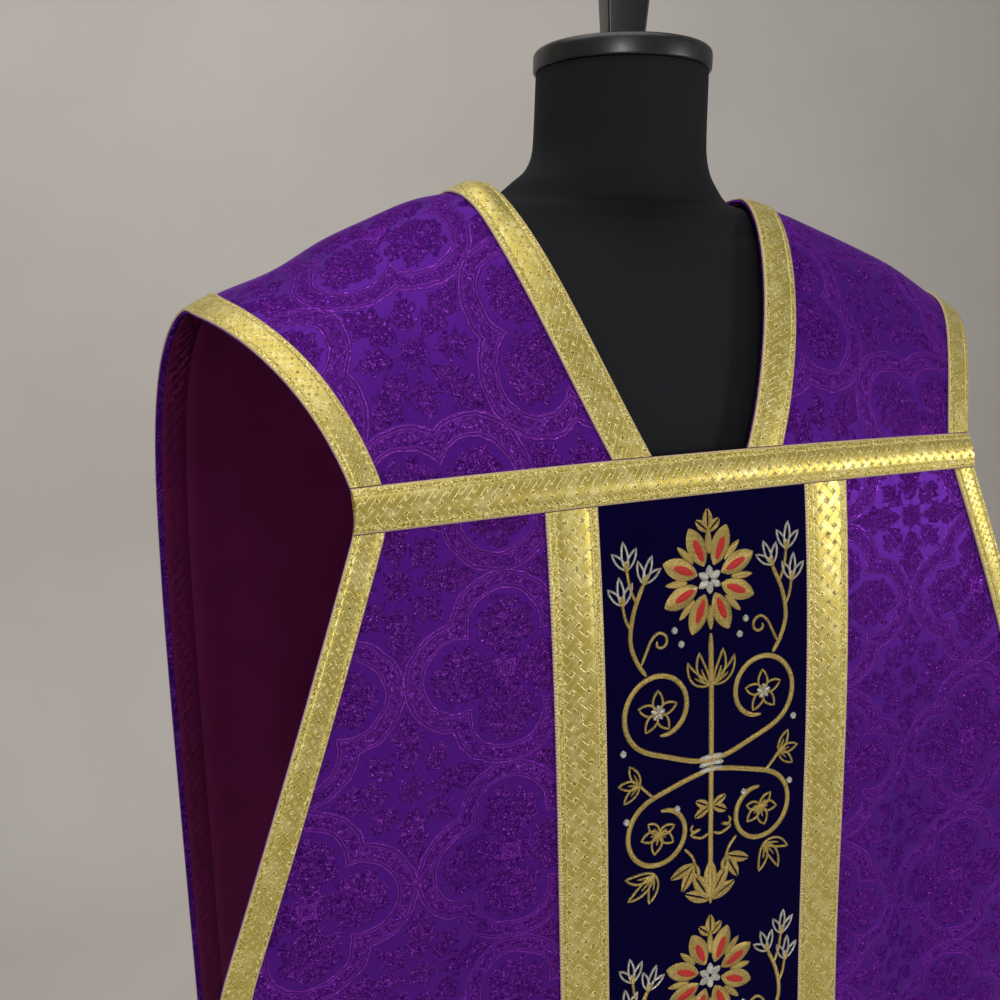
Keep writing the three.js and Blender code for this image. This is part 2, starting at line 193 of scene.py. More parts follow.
# Half width of the cloth: front side with its flare, armhole, side of the back
def outerEdge(v):
    v = np.asarray(v, float)
    below = np.maximum(0, -v)
    run = np.minimum(below, cut["flareStraight"])
    extra = np.maximum(0, below - cut["flareStraight"])
    eased = cut["flareEase"] * (1 - np.exp(-extra / cut["flareEase"]))
    front = cut["chestEnd"] + cut["flareSlope"] * (run + eased)
    past = np.maximum(0, v - cut["ridgeV"])
    swell = 1 - np.exp(-((past / cut["swellOver"]) ** cut["swellPower"]))
    back = cut["shoulderEnd"] + cut["backSwell"] * swell + cut["backSlope"] * past
    t = np.clip(v / cut["ridgeV"], 0, 1)
    lean = cut["armholeLean"] * (1 - t)
    side = cut["shoulderEnd"] - lean - cut["armholeCurve"] * (1 - ease(t / cut["armholeUntil"]))
    joined = np.clip(v / seamLine["bandTop"], 0, 1)
    side = cut["chestEnd"] + (side - cut["chestEnd"]) * joined
    return np.where(v <= 0, front, np.where(v >= cut["ridgeV"], back, side))


# Half width of the neck opening: an easing slope in front, a quarter ellipse behind
def neckEdge(v):
    t = np.minimum(1, np.asarray(v, float) / cut["ridgeV"])
    front = cut["neckStart"] + cut["neckSpread"] * t - cut["neckEase"] * t * t
    down = np.clip((v - cut["ridgeV"]) / cut["neckBackDepth"], 0, 1)
    atRidge = cut["neckStart"] + cut["neckSpread"] - cut["neckEase"]
    back = cut["neckBackHalf"] + (atRidge - cut["neckBackHalf"]) * np.sqrt(1 - down * down)
    return np.where(v <= cut["ridgeV"], front, back)


# How much wider a strip is across than square to a slanting edge
def slant(edge, v):
    slope = (edge(v + 2) - edge(v - 2)) / 4
    return np.minimum(cut["mostSlant"], np.hypot(1, slope))


# The hems rise towards the sides, with the fourth power of the share of the half width
def hemShift(x, v):
    down = np.where(v < 0, -v / cut["frontHem"], (v - cut["ridgeV"]) / cut["backHem"])
    low = np.clip((down - cut["hemRiseFrom"]) / (1 - cut["hemRiseFrom"]), 0, 1)
    side = np.abs(x) / outerEdge(v)
    return -np.sign(v) * cut["hemRise"] * side ** cut["hemRisePower"] * low * low


# A mesh from points and faces, in metres, smooth but for its sharp corners. Its finish is its
# slot's own where no other is named.
def makePiece(name, points, faces, slot, replaced=(), uv=None, finish="", sharp=40, layer="weave"):
    used = np.unique(np.concatenate([np.ravel(face) for face in faces]))
    renumber = np.zeros(len(points), int)
    renumber[used] = np.arange(len(used))
    loops = []
    for group in faces:
        loops += renumber[group].tolist()
    mesh = bpy.data.meshes.new(name)
    mesh.from_pydata((points[used] * metre).tolist(), [], loops)
    mesh.shade_smooth()
    mesh.set_sharp_from_angle(angle=math.radians(sharp))
    if uv is not None:
        corner = np.zeros(len(mesh.loops), int)
        mesh.loops.foreach_get("vertex_index", corner)
        mesh.uv_layers.new(name=layer).data.foreach_set("uv", uv[used][corner].ravel())
    mesh.materials.append(finishes[finish or slot])
    piece = bpy.data.objects.new(name, mesh)
    bpy.context.scene.collection.objects.link(piece)
    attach(piece, "root")
    if replaced:
        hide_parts(*replaced)
    print(f"{name}: {sum(len(f) * (np.shape(f)[1] - 2) for f in faces)} triangles")
    return piece


# A closed wall over the kept cells of a grid (x, v), between two distances from the draped
# surface: the outer face, the inner face turned round, and a rim at each edge of the kept part
def clothWall(x, v, outer, inner, keep=None):
    rows, columns = x.shape
    keep = np.ones((rows - 1, columns - 1), bool) if keep is None else keep
    points = drapedPoint(x, v)
    normals = outward(drapedPoint, x, v)
    outside = points + normals * np.broadcast_to(outer, x.shape)[..., None]
    inside = points + normals * np.broadcast_to(inner, x.shape)[..., None]
    number = np.arange(rows * columns).reshape(rows, columns)
    under = number + rows * columns

    def corner(grid, j, i):
        return grid[j:rows - 1 + j, i:columns - 1 + i]

    ring = [(0, 0), (0, 1), (1, 1), (1, 0)]
    upper = np.stack([corner(number, *place) for place in ring], -1)[keep]
    lower = np.stack([corner(under, *place) for place in ring[::-1]], -1)[keep]
    faces = [upper, lower]
    around = np.pad(keep, 1)
    for (near, start), end in zip(zip([(-1, 0), (0, 1), (1, 0), (0, -1)], ring), ring[1:] + ring[:1]):
        beside = around[1 + near[0]:rows + near[0], 1 + near[1]:columns + near[1]]
        rim = [corner(under, *start), corner(under, *end), corner(number, *end), corner(number, *start)]
        faces.append(np.stack(rim, -1)[keep & ~beside])
    return np.concatenate([outside.reshape(-1, 3), inside.reshape(-1, 3)]), faces


# Rings of points joined up and shut with a point at each end, for turned and lofted solids
def ringSolid(rings, low, high):
    count, sides = rings.shape[:2]
    number = np.arange(count * sides).reshape(count, sides)
    after = np.roll(number, -1, 1)
    quads = np.stack([number[:-1], after[:-1], after[1:], number[1:]], -1).reshape(-1, 4)
    lowEnd = np.stack([np.full(sides, count * sides), after[0], number[0]], -1)
    highEnd = np.stack([np.full(sides, count * sides + 1), number[-1], after[-1]], -1)
    return np.concatenate([rings.reshape(-1, 3), [low, high]]), [quads, lowEnd, highEnd]


# A turned solid: each (radius, height) of the profile runs round the upright axis
def turnedSolid(profile, sides=96):
    radius, height = np.array(profile, float).T
    angle = np.linspace(0, 2 * np.pi, sides, endpoint=False)
    rings = np.stack([
        radius[:, None] * np.cos(angle),
        radius[:, None] * np.sin(angle),
        np.repeat(height[:, None], sides, 1),
    ], -1)
    return ringSolid(rings, [0, 0, height[0]], [0, 0, height[-1]])


# A corner of a profile rounded with a quarter of a circle between two directions
def roundedCorner(centre, radius, start, end, steps=5):
    angle = np.radians(np.linspace(start, end, steps + 1))
    return [(centre[0] + radius * math.cos(a), centre[1] + radius * math.sin(a)) for a in angle]


# Values from stop to stop, in even steps close to the pitch
def spaced(stops, pitch):
    parts = [np.linspace(a, b, max(1, round(abs(b - a) / pitch)), endpoint=False)
             for a, b in zip(stops, stops[1:])]
    return np.concatenate([*parts, [stops[-1]]])


# A value in a node tree: Python's operators on it add Math nodes
class Flow:
    def __init__(self, finish, socket):
        self.finish = finish
        self.socket = socket

    def math(self, operation, *values):
        return self.finish.make("Math", {"operation": operation}, dict(enumerate([self, *values])))

    def __add__(self, other):
        return self.math("ADD", other)

    def __sub__(self, other):
        return self.math("SUBTRACT", other)

    def __rsub__(self, other):
        return self.finish.make("Math", {"operation": "SUBTRACT"}, {0: other, 1: self})

    def __mul__(self, other):
        return self.math("MULTIPLY", other)

    def __truediv__(self, other):
        return self.math("DIVIDE", other)

    def __pow__(self, other):
        return self.math("POWER", other)

    def __abs__(self):
        return self.math("ABSOLUTE")

    __radd__ = __add__
    __rmul__ = __mul__

    def most(self, *others):
        found = self
        for other in others:
            found = found.math("MAXIMUM", other)
        return found

    def least(self, other):
        return self.math("MINIMUM", other)

    def wave(self):
        return self.math("SINE")

    def folded(self):
        return abs(self - self.math("ROUND"))

    # 1 where the value is under an edge, fading to 0 over soft on both sides of it
    def under(self, edge, soft):
        return self.finish.make("MapRange", {"interpolation_type": "SMOOTHSTEP"},
                                {0: self, 1: edge + soft, 2: edge - soft})

    # 1 within a half width of a centre
    def line(self, centre, half, soft):
        return abs(self - centre).under(half, soft)


# A material: constants go straight on its shader, and make() adds any other node
class Finish:
    def __init__(self, name, **constants):
        self.material = bpy.data.materials.new(name)
        self.material.use_nodes = True
        self.tree = self.material.node_tree
        self.shader = self.tree.nodes["Principled BSDF"]
        for key, value in constants.items():
            self.shader.inputs[key.replace("_", " ")].default_value = value

    def make(self, kind, settings=None, values=None, output=0):
        node = self.tree.nodes.new("ShaderNode" + kind)
        for key, value in (settings or {}).items():
            setattr(node, key, value)
        for key, value in (values or {}).items():
            if isinstance(value, Flow):
                self.tree.links.new(value.socket, node.inputs[key])
            else:
                node.inputs[key].default_value = value
        return Flow(self, node.outputs[output])

    def split(self, vector):
        first = self.make("SeparateXYZ", None, {0: vector})
        return [Flow(self, socket) for socket in first.socket.node.outputs]

    def place(self):
        return self.make("TexCoord", None, None, "Object")

    # Noise with spots of a size in millimetres, in the object's own space
    def noise(self, size, detail=2, distortion=0, vector=None):
        return self.make("TexNoise", None, {
            "Vector": self.place() if vector is None else vector,
            "Scale": 1 / (size * metre) if vector is None else 1 / size,
            "Detail": detail, "Distortion": distortion,
        })

    def mix(self, factor, low, high):
        return self.make("Mix", {"data_type": "RGBA"}, {0: factor, 6: low, 7: high}, 2)

    # Height in millimetres becomes the shader's normal
    def relief(self, height):
        self.feed("Normal", self.make("Bump", None, {"Height": height, "Distance": metre}))

    def feed(self, socket, value):
        self.tree.links.new(value.socket, self.shader.inputs[socket])


# Screen colour to the linear colour that nodes take
def rgb(red, green, blue):
    def linear(c):
        c = c / 255
        return c / 12.92 if c <= 0.04045 else ((c + 0.055) / 1.055) ** 2.4
    return (linear(red), linear(green), linear(blue), 1)


# Damask: a lattice of four-lobed medallions, read from a UV map whose unit is one repeat.
# The satin ground is smooth, and the figure is crinkled like crepe, darker, and glints; its crepe ridges
# and ring lines are also painted in a lighter violet as painted glints.
damaskLook = {
    "ground": rgb(84, 26, 136), "groundDeep": rgb(72, 20, 120),
    "figure": rgb(54, 6, 102), "figurePaintedGlint": rgb(196, 84, 252),
    "groundRough": 0.42, "figureRough": 0.24, "groundMetal": 0.5, "figureMetal": 0.92,
    "crinkle": 2.6, "crinkleHeight": 0.6, "raise": 0.22, "grain": 0.9, "tone": 70,
    "ridge": 0.045, "ridgeSoft": 0.05, "ridgePaintedGlint": 0.62, "ringsPaintedGlint": 0.36, "speckLit": 0.08,
}


# Its pattern, in repeats. A ring is (radius, half width). A scalloped shape has a wavy rim, and a
# leafed one starts at a distance from the middle and swells along its length, with teeth.
damaskPattern = {
    "drift": 0.036, "lobeAt": 0.223, "medallion": 0.294,
    "rings": [(0.279, 0.0056), (0.2635, 0.0036), (0.1995, 0.0036), (0.186, 0.0052)], "ringSoft": 0.0022,
    "vine": {"at": 0.2315, "half": 0.030, "strand": 0.027, "twists": 13, "sway": 0.62, "ragged": 1.6,
             "first": 0.34, "second": 0.30, "soft": 0.22},
    "rose": {"radius": 0.140, "petals": 7, "deep": 0.010, "ragged": 0.15, "soft": 0.005},
    "roseHeart": {"radius": 0.066, "half": 0.004, "ragged": 0.10, "soft": 0.003},
    "leaves": {"radius": 0.100, "petals": 8, "deep": 0.018, "ragged": 0.14, "soft": 0.005},
    "knot": {"radius": 0.030, "ragged": 0.06, "soft": 0.005},
    "bloom": {"radius": 0.066, "petals": 12, "deep": 0.005, "ragged": 0.015, "soft": 0.004},
    "beads": {"round": 8, "out": 105},
    "sprig": {"start": 0.092, "long": 0.32, "half": 0.046, "power": 0.6, "teeth": 4, "deep": 0.085,
              "ragged": 0.09},
    "bunch": {"start": 0.100, "long": 0.165, "half": 0.030, "power": 0.7, "teeth": 3, "deep": 0.10,
              "ragged": 0.08},
    "teethLean": 9, "leafSoft": 0.005, "fold": 0.050, "foldHalf": 0.018, "foldSoft": 0.020,
}


def damaskFinish(look, pattern):
    cloth = Finish("violetDamask", Specular_IOR_Level=0.25, Specular_Tint=rgb(190, 120, 240))
    uv = cloth.make("UVMap", {"uv_map": "weave"})
    drift = cloth.make("TexNoise", None, {"Vector": uv, "Scale": 9, "Detail": 2}, 1)
    far = pattern["drift"]
    drift = cloth.make("VectorMath", {"operation": "MULTIPLY_ADD"},
                       {0: drift, 1: (far, far, 0), 2: (-far / 2, -far / 2, 0)})
    u, w, _ = cloth.split(cloth.make("VectorMath", {"operation": "ADD"}, {0: uv, 1: drift}))
    ragged = cloth.noise(0.040, 3, 0.8, vector=uv) - 0.5

    # under a radius that waves round the middle
    def scalloped(radius, turn, shape):
        wave = shape["deep"] * (turn * shape["petals"]).wave()
        return radius.under(shape["radius"] + wave + ragged * shape["ragged"], shape["soft"])

    # under a half width that swells like a sine along the shape, more where a tooth is
    def leafed(along, beside, shape):
        share = ((along - shape["start"]) / shape["long"]).most(0).least(1)
        teeth = (share * shape["teeth"] - beside * pattern["teethLean"]).folded()
        swell = (share * math.pi).wave() ** shape["power"]
        half = swell * (shape["half"] + teeth * shape["deep"]) + ragged * shape["ragged"]
        return beside.under(half, pattern["leafSoft"])

    # one eighth of the medallion is drawn, and the folds of the lattice repeat it
    a, b = u.folded(), w.folded()
    m, n = a.most(b), a.least(b)
    forward = m - pattern["lobeAt"]
    lobe = (forward * forward + n * n) ** 0.5
    angle = n.math("ARCTAN2", forward)
    rings = [lobe.line(at, half, pattern["ringSoft"]) for at, half in pattern["rings"]]
    rings = rings[0].most(*rings[1:])
    # a twisted vine with small leaves between the rings, over a half-tone of the figure
    vine = pattern["vine"]
    across = (lobe - vine["at"]) / vine["strand"] + ragged * vine["ragged"]
    twist = (angle * vine["twists"]).wave() * vine["sway"]
    second = abs(across + twist).under(vine["second"], vine["soft"])
    strands = abs(across - twist).under(vine["first"], vine["soft"]).most(second * 0.8)
    strands = (strands * 0.5 + 0.5) * lobe.line(vine["at"], vine["half"], 0.004)
    # a ragged rose in each lobe, and a knot of leaves where the four lobes meet
    heart = pattern["roseHeart"]
    heart = lobe.line(heart["radius"] + ragged * heart["ragged"], heart["half"], heart["soft"])
    rose = scalloped(lobe, angle, pattern["rose"]) * (1 - heart * 0.7)
    leaves = scalloped((a * a + b * b) ** 0.5, a.math("ARCTAN2", b), pattern["leaves"])
    knot = (((a - 0.5) * (a - 0.5) + n * n) ** 0.5).least(((b - 0.5) * (b - 0.5) + n * n) ** 0.5)
    knot = knot.under(pattern["knot"]["radius"] + ragged * pattern["knot"]["ragged"],
                      pattern["knot"]["soft"])
    # between the medallions: a beaded bloom, four long leafy sprigs and four short bunches
    outA, outB = 0.5 - a, 0.5 - b
    far, near = outA.most(outB), outA.least(outB)
    middle = (outA * outA + outB * outB) ** 0.5
    turn = outA.math("ARCTAN2", outB)
    beads = (turn * pattern["beads"]["round"]).wave() * (middle * pattern["beads"]["out"]).wave()
    bloom = scalloped(middle, turn, pattern["bloom"]) * (1 - abs(beads).under(0.20, 0.12) * 0.8)
    sprig = leafed(far, near, pattern["sprig"]) * (1 - near.line(0.0, 0.0022, 0.002) * 0.5)
    bunch = leafed((outA + outB) * 0.7071, abs(outA - outB) * 0.7071, pattern["bunch"])
    outside = 1 - lobe.under(pattern["medallion"] + ragged * 0.02, 0.003)
    flowers = rose.most(leaves, knot, sprig.most(bloom, bunch) * outside)
    # petals and veins inside the flowers, as lines where a slow noise passes its middle
    folds = abs(cloth.noise(pattern["fold"], 2, 1.4, vector=uv) - 0.5)
    folds = folds.under(pattern["foldHalf"], pattern["foldSoft"])
    figure = rings.most(strands, flowers * (1 - folds * 0.7))
    # crepe: narrow worm-like ridges where a swirled noise passes its middle value
    swirl = cloth.noise(look["crinkle"], 2, 1.6)
    ridge = abs(swirl - 0.5).under(look["ridge"], look["ridgeSoft"])
    tone = cloth.noise(look["tone"], 2)
    speck = cloth.noise(look["grain"], 1)
    ground = cloth.mix(tone * 0.7 + speck * 0.3, look["groundDeep"], look["ground"])
    # painted glints: the crepe ridges and the rings are painted towards a lighter violet, with a little
    # of the grain
    lit = (ridge * look["ridgePaintedGlint"]).most(rings * look["ringsPaintedGlint"]) + speck * look["speckLit"]
    figureWithPaintedGlints = cloth.mix(lit, look["figure"], look["figurePaintedGlint"])
    cloth.feed("Base Color", cloth.mix(figure, ground, figureWithPaintedGlints))
    cloth.feed("Roughness", look["groundRough"] - figure * (look["groundRough"] - look["figureRough"]))
    cloth.feed("Metallic", figure * (look["figureMetal"] - look["groundMetal"]) + look["groundMetal"])
    crepe = ridge * look["crinkleHeight"] + swirl * 0.9
    cloth.relief(figure * (crepe + look["raise"]) + ridge * 0.04 + speck * 0.05)
    return cloth.material


# Gold braid: t runs across from -1 to 1 and s along in half widths. Flat straps cross over and
# under in a slanting lattice, with an eye in every second opening, between two grainy ribs.
# Its colour holds painted light: glints, rims, cords and shiny patches in a painted highlight colour, and
# dips, pits and gaps in a painted shade colour.
braidLook = {
    "gold": rgb(190, 170, 80), "paintedHighlight": rgb(252, 242, 176), "paintedShade": rgb(108, 86, 30),
    "edge": rgb(220, 194, 160), "repeat": 1.32, "plait": 1.30, "strap": 0.285,
    "eye": 0.17, "rim": 0.03, "soft": 0.02, "rib": 0.66, "edgeFrom": 0.94, "bead": 0.13,
    "dipShade": 0.10, "cordAt": 0.90, "cordHalf": 0.02, "innerCordHalf": 0.014,
    "grain": 1.25, "glintOver": 0.57, "pitUnder": 0.42, "patch": 9, "glintPatchOver": 0.56,
    "metal": 0.7, "strapRough": 0.36, "rough": 0.42,
    "topHigh": 0.34, "lowHigh": 0.26, "domeFall": 0.6, "domeShare": 0.5, "grainHigh": 0.6,
}


def braidFinish(name, look):
    braid = Finish(name, Specular_IOR_Level=0.5)
    t, s, _ = braid.split(braid.make("UVMap", {"uv_map": "weave"}))
    out = abs(t)
    step = s / look["repeat"]
    p, q = (step + t / look["plait"]) * 2, (step - t / look["plait"]) * 2
    cellP, cellQ = p.math("FLOOR"), q.math("FLOOR")
    odd = ((cellP + cellQ) * 0.5).folded() * 2
    first, second = abs(p - cellP - 0.5), abs(q - cellQ - 0.5)
    over = first + (second - first) * odd
    below = first + second - over
    plait = out.under(look["rib"] - 0.01, 0.015)
    eye = (step.folded() * look["repeat"] + out).under(look["eye"], look["soft"])
    top = over.under(look["strap"], look["soft"]) * plait * (1 - eye)
    low = below.under(look["strap"], look["soft"]) * (1 - top) * plait * (1 - eye)
    strap = top + low
    rimHighlights = below.line(look["strap"], look["rim"], look["rim"]) * (1 - top)
    rimHighlights = over.line(look["strap"], look["rim"], look["rim"]).most(rimHighlights) * plait
    # painted shade: the under strap is darker where it dips beside the over strap
    dipShade = low * over.line(look["strap"], look["dipShade"], 0.08)
    # bright specks of the grain are painted glints, and dark ones painted shade in its pits
    grain = braid.noise(look["grain"], 2, 0.6)
    glint = 1 - grain.under(look["glintOver"], 0.05)
    pitShade = grain.under(look["pitUnder"], 0.06)
    patch = braid.noise(look["patch"], 2)
    # the two cords are raised a little and painted lighter as painted highlights
    cord = out.line(look["rib"] + 0.025, look["innerCordHalf"], 0.010)
    cord = out.line(look["cordAt"], look["cordHalf"], 0.012).most(cord)
    rough = braid.mix(pitShade * (0.6 + plait * 0.35), look["gold"], look["paintedShade"])
    rough = braid.mix((glint * 0.75).most(cord * 0.4), rough, look["paintedHighlight"])
    # slow patches of painted glint on the straps
    glintPatches = 1 - patch.under(look["glintPatchOver"], 0.14)
    smooth = braid.mix(glintPatches * 0.35, look["gold"], look["paintedHighlight"])
    base = braid.mix(strap, rough, smooth)
    # painted highlight along the strap rims, and below it painted shade in the dips and in the openings
    # between straps
    base = braid.mix(rimHighlights * (glint * 0.4 + 0.5), base, look["paintedHighlight"])
    base = braid.mix(dipShade * 0.3 + (1 - strap) * (1 - rimHighlights) * plait * pitShade * 0.6, base, look["paintedShade"])
    inner = out.under(look["edgeFrom"], 0.012)
    # painted shade in the gaps between the edge beads
    bead = (s / look["bead"]).folded() * 2
    base = braid.mix(inner, braid.mix(bead.under(0.4, 0.3) * 0.6, look["edge"], look["paintedShade"]), base)
    braid.feed("Base Color", base)
    braid.feed("Metallic", (inner * 0.8 + 0.2) * look["metal"])
    braid.feed("Roughness", look["rough"] + grain * 0.06 - strap * (look["rough"] - look["strapRough"]))
    dome = top * (look["topHigh"] - over * over * look["domeFall"])
    dome = dome + low * (look["lowHigh"] - below * below * look["domeFall"])
    height = dome * look["domeShare"] - dipShade * 0.05 + (1 - strap) * grain * look["grainHigh"]
    height = height + strap * grain * 0.05 + rimHighlights * 0.05
    braid.relief(height + (1 - inner) * bead * 0.2 + cord * 0.1)
    return braid.material


# Velvet pile: very dark, with faint brushed patches
velvetLook = {"deep": rgb(2, 0, 26), "lit": rgb(9, 2, 48), "patch": 22, "pile": 0.7}


def velvetFinish(look):
    pile = Finish("darkVelvet", Roughness=0.95, Sheen_Weight=0.10, Sheen_Roughness=0.4,
                  Sheen_Tint=rgb(50, 30, 150), Specular_IOR_Level=0.03)
    patch = pile.noise(look["patch"], 2, 0.6)
    tuft = pile.noise(look["pile"], 2)
    pile.feed("Base Color", pile.mix((patch * 0.6 + tuft * 0.4).least(1), look["deep"], look["lit"]))
    pile.relief(tuft * 0.25 + patch * 0.2)
    return pile.material


# Plain cloth: two fine sets of threads over each other, with slow changes of tone
def plainCloth(name, low, high, rough, thread, depth, slow, **constants):
    cloth = Finish(name, **constants)
    x, y, z = cloth.split(cloth.place())
    warp = ((x + y * 0.35) * (2 * math.pi / (thread * metre))).wave()
    weft = (z * (2 * math.pi / (thread * metre))).wave()
    tone = cloth.noise(slow, 2)
    speck = cloth.noise(1.1, 2)
    cloth.feed("Base Color", cloth.mix((tone * 0.7 + speck * 0.5).least(1), low, high))
    cloth.feed("Roughness", rough + speck * 0.08)
    cloth.relief(warp * weft * depth + speck * depth)
    return cloth.material


# Lining satin: UV holds metres in from the edge and along it, for the line of stitches
def liningFinish(low, high, stitch):
    satin = Finish("wineLining", Specular_IOR_Level=0.25, Specular_Tint=rgb(200, 90, 160))
    inward, along, _ = satin.split(satin.make("UVMap", {"uv_map": "weave"}))
    tone = satin.noise(40, 2)
    speck = satin.noise(1.1, 2)
    base = satin.mix((tone * 0.7 + speck * 0.5).least(1), low, high)
    line = inward.line(stitch["at"], stitch["half"], stitch["soft"])
    line = line * (along / stitch["apart"]).folded().under(0.34, 0.06)
    satin.feed("Base Color", satin.mix(line * 0.75, base, stitch["colour"]))
    satin.feed("Roughness", 0.46 + speck * 0.1 + line * 0.2)
    weave = (along * (2 * math.pi / 0.0009)).wave() * (inward * (2 * math.pi / 0.0009)).wave()
    satin.relief(weave * 0.03 + speck * 0.05 + line * 0.25)
    return satin.material


# Lacquered wood or metal: even, with a faint orange-peel and rubbed spots
def lacquerFinish(name, low, high, rough, wear, **constants):
    coat = Finish(name, **constants)
    patch = coat.noise(9, 3, 0.4)
    fine = coat.noise(1.2, 2)
    coat.feed("Base Color", coat.mix(patch.under(0.42, 0.12) * wear, low, high))
    coat.feed("Roughness", rough + patch * 0.12 + fine * 0.05)
    coat.relief(fine * 0.02 + patch * 0.06)
    return coat.material


# Metal thread laid in stitches across a strip: UV holds millimetres across and along
def threadFinish(name, deep, paintedHighlight, metal, rough):
    thread = Finish(name, Specular_IOR_Level=0.5)
    u, w, _ = thread.split(thread.make("UVMap", {"uv_map": "stitch"}))
    twist = ((w + u * 0.55) * (2 * math.pi / 0.9)).wave() * 0.5 + 0.5
    grain = thread.noise(1.0, 2)
    lit = twist * 0.35 + grain * 0.65
    # painted light on the thread: its twist and grain are drawn as painted highlights in the light colour
    # and painted shade in the deep one
    thread.feed("Base Color", thread.mix(lit.under(0.49, 0.10), paintedHighlight, deep))
    thread.feed("Metallic", lit * 0.3 + (metal - 0.15))
    thread.feed("Roughness", rough + grain * 0.15)
    thread.relief(twist * 0.22 + grain * 0.18)
    return thread.material


finishes = {
    "damask": damaskFinish(damaskLook, damaskPattern),
    "lining": liningFinish(rgb(60, 12, 42), rgb(88, 22, 62), {
        "at": 0.0162, "half": 0.0005, "soft": 0.0002, "apart": 0.0042, "colour": rgb(34, 6, 26)}),
    "velvet": velvetFinish(velvetLook),
    "galloon": braidFinish("goldBraid", braidLook),
    "jersey": plainCloth("blackJersey", rgb(12, 13, 16), rgb(20, 21, 26), 0.8, 1.4, 0.05, 60,
                         Specular_IOR_Level=0.22),
    "lacquer": lacquerFinish("blackLacquer", rgb(14, 14, 14), rgb(34, 33, 31), 0.28, 0.6),
    "steel": lacquerFinish("blackSteel", rgb(12, 12, 13), rgb(26, 26, 27), 0.38, 0.5),
    # each thread: its painted shade colour, then its painted highlight colour
    "goldThread": threadFinish("goldThread", rgb(92, 66, 24), rgb(226, 200, 116), 0.75, 0.34),
    "silverThread": threadFinish("silverThread", rgb(96, 92, 86), rgb(240, 236, 222), 0.7, 0.34),
    "redThread": threadFinish("redThread", rgb(120, 8, 10), rgb(225, 36, 26), 0.15, 0.45),
}
print("finishes made:", len(finishes))


# The sheets. A grid runs from the right side over the centre to the left: its columns keep their
# distances from the side edge, then spread evenly to the neck and on to the centre line.
backHem = cut["ridgeV"] + cut["backHem"]
neckEnd = cut["ridgeV"] + cut["neckBackDepth"]
sheets = {
    "damaskPitch": 6, "damaskEdge": [0, 1.5, 4, 9, 17.5, 24], "damaskSide": 38,
    "liningPitch": 3.8, "frontLiningPitch": 4.94, "liningSide": 32, "frontMiddle": 40.0,
    "liningEdge": [0, 2, 4, 6.5, 9, 11.5, 14, 15.6, 16.6, 17.6, 20, 25, 32, 42],
    "neckCells": 10, "velvetPitch": 6, "velvetColumns": 27,
}
# Two lattices of the damask, in repeats: upright on the front, turned on the back and yoke
lattice = {
    "frontX": -146, "frontV": -90, "frontWide": 128, "frontHigh": 120,
    "backX": -182, "backV": 92, "backTurn": 49, "backPitch": 131,
}


# Repeats across and up from the lattice's own start
def frontLattice(x, v):
    u = (x - lattice["frontX"]) / lattice["frontWide"]
    w = (v - lattice["frontV"]) / lattice["frontHigh"]
    return np.stack([u, w], -1)


# The same after a turn in the plane of the cloth
def backLattice(x, v):
    turn = math.radians(lattice["backTurn"])
    across, up = x - lattice["backX"], v - lattice["backV"]
    u = 0.5 + (across * math.cos(turn) + up * math.sin(turn)) / lattice["backPitch"]
    w = 0.5 + (up * math.cos(turn) - across * math.sin(turn)) / lattice["backPitch"]
    return np.stack([u, w], -1)


# One map for the outer and the inner face of a wall
def bothFaces(uv):
    return np.concatenate([uv.reshape(-1, 2)] * 2)


# Mirrored columns: from the outer edge in to the neck and the centre, and out again
def sheetGrid(rows, inset, edges, side, neck):
    wide = slant(outerEdge, rows)[:, None]
    outer = outerEdge(rows)[:, None] - wide * (inset + np.array(edges, float))
    last = outer[:, -1:]
    middle = last + (neck[:, None] - last) * np.linspace(0, 1, side + 1)[1:]
    inner = neck[:, None] * np.linspace(1, 0, sheets["neckCells"] + 1)[1:]
    half = np.concatenate([outer, middle, inner], 1)
    x = np.concatenate([-half, half[:, -2::-1]], 1)
    v = np.repeat(rows[:, None], x.shape[1], 1)
    return x, v + hemShift(x, v)


# True for each kept cell, false for the middle cells of the rows before end
def neckOpening(rows, columns, end):
    keep = np.ones((len(rows) - 1, columns - 1), bool)
    middle = columns // 2
    keep[rows[:-1] < end - 0.01, middle - sheets["neckCells"]:middle + sheets["neckCells"]] = False
    return keep


# How far the lining stands off the damask: puckers that slant from the edge to the stitch line,
# a groove where it is stitched down, and a soft swell beyond. The uneven waves are (size, length, start).
pucker = {
    "apart": 10, "slant": 0.8, "deep": 2.1, "uneven": [(1.3, 37, 0), (0.8, 13.7, 1)],
    "edgeIn": 3, "stitch": 16.6, "edgeOut": 4,
    "swell": 1.6, "swellIn": 5, "swellTo": 46, "swellOut": 20, "swellEven": 0.6,
}


# Distance in from the lining's own edge, square to it
def inwardFromEdge(x, v):
    return (outerEdge(v) - np.abs(x)) / slant(outerEdge, v) - liningInset


# Depth times a slanting wave up to the stitches, and swell times a weaker one after them
def liningDepth(x, v):
    distance = inwardFromEdge(x, v)
    uneven = sum(size * np.sin(v / length + start) for size, length, start in pucker["uneven"])
    ripple = 0.5 + 0.5 * np.sin(2 * np.pi * (v + pucker["slant"] * distance) / pucker["apart"] + uneven)
    past = distance - pucker["stitch"]
    edge = ease(distance / pucker["edgeIn"]) * ease(-past / pucker["edgeOut"])
    beyond = ease(past / pucker["swellIn"]) * ease((pucker["swellTo"] - distance) / pucker["swellOut"])
    swell = pucker["swellEven"] + (1 - pucker["swellEven"]) * ripple
    return pucker["deep"] * ripple * edge + pucker["swell"] * swell * beyond


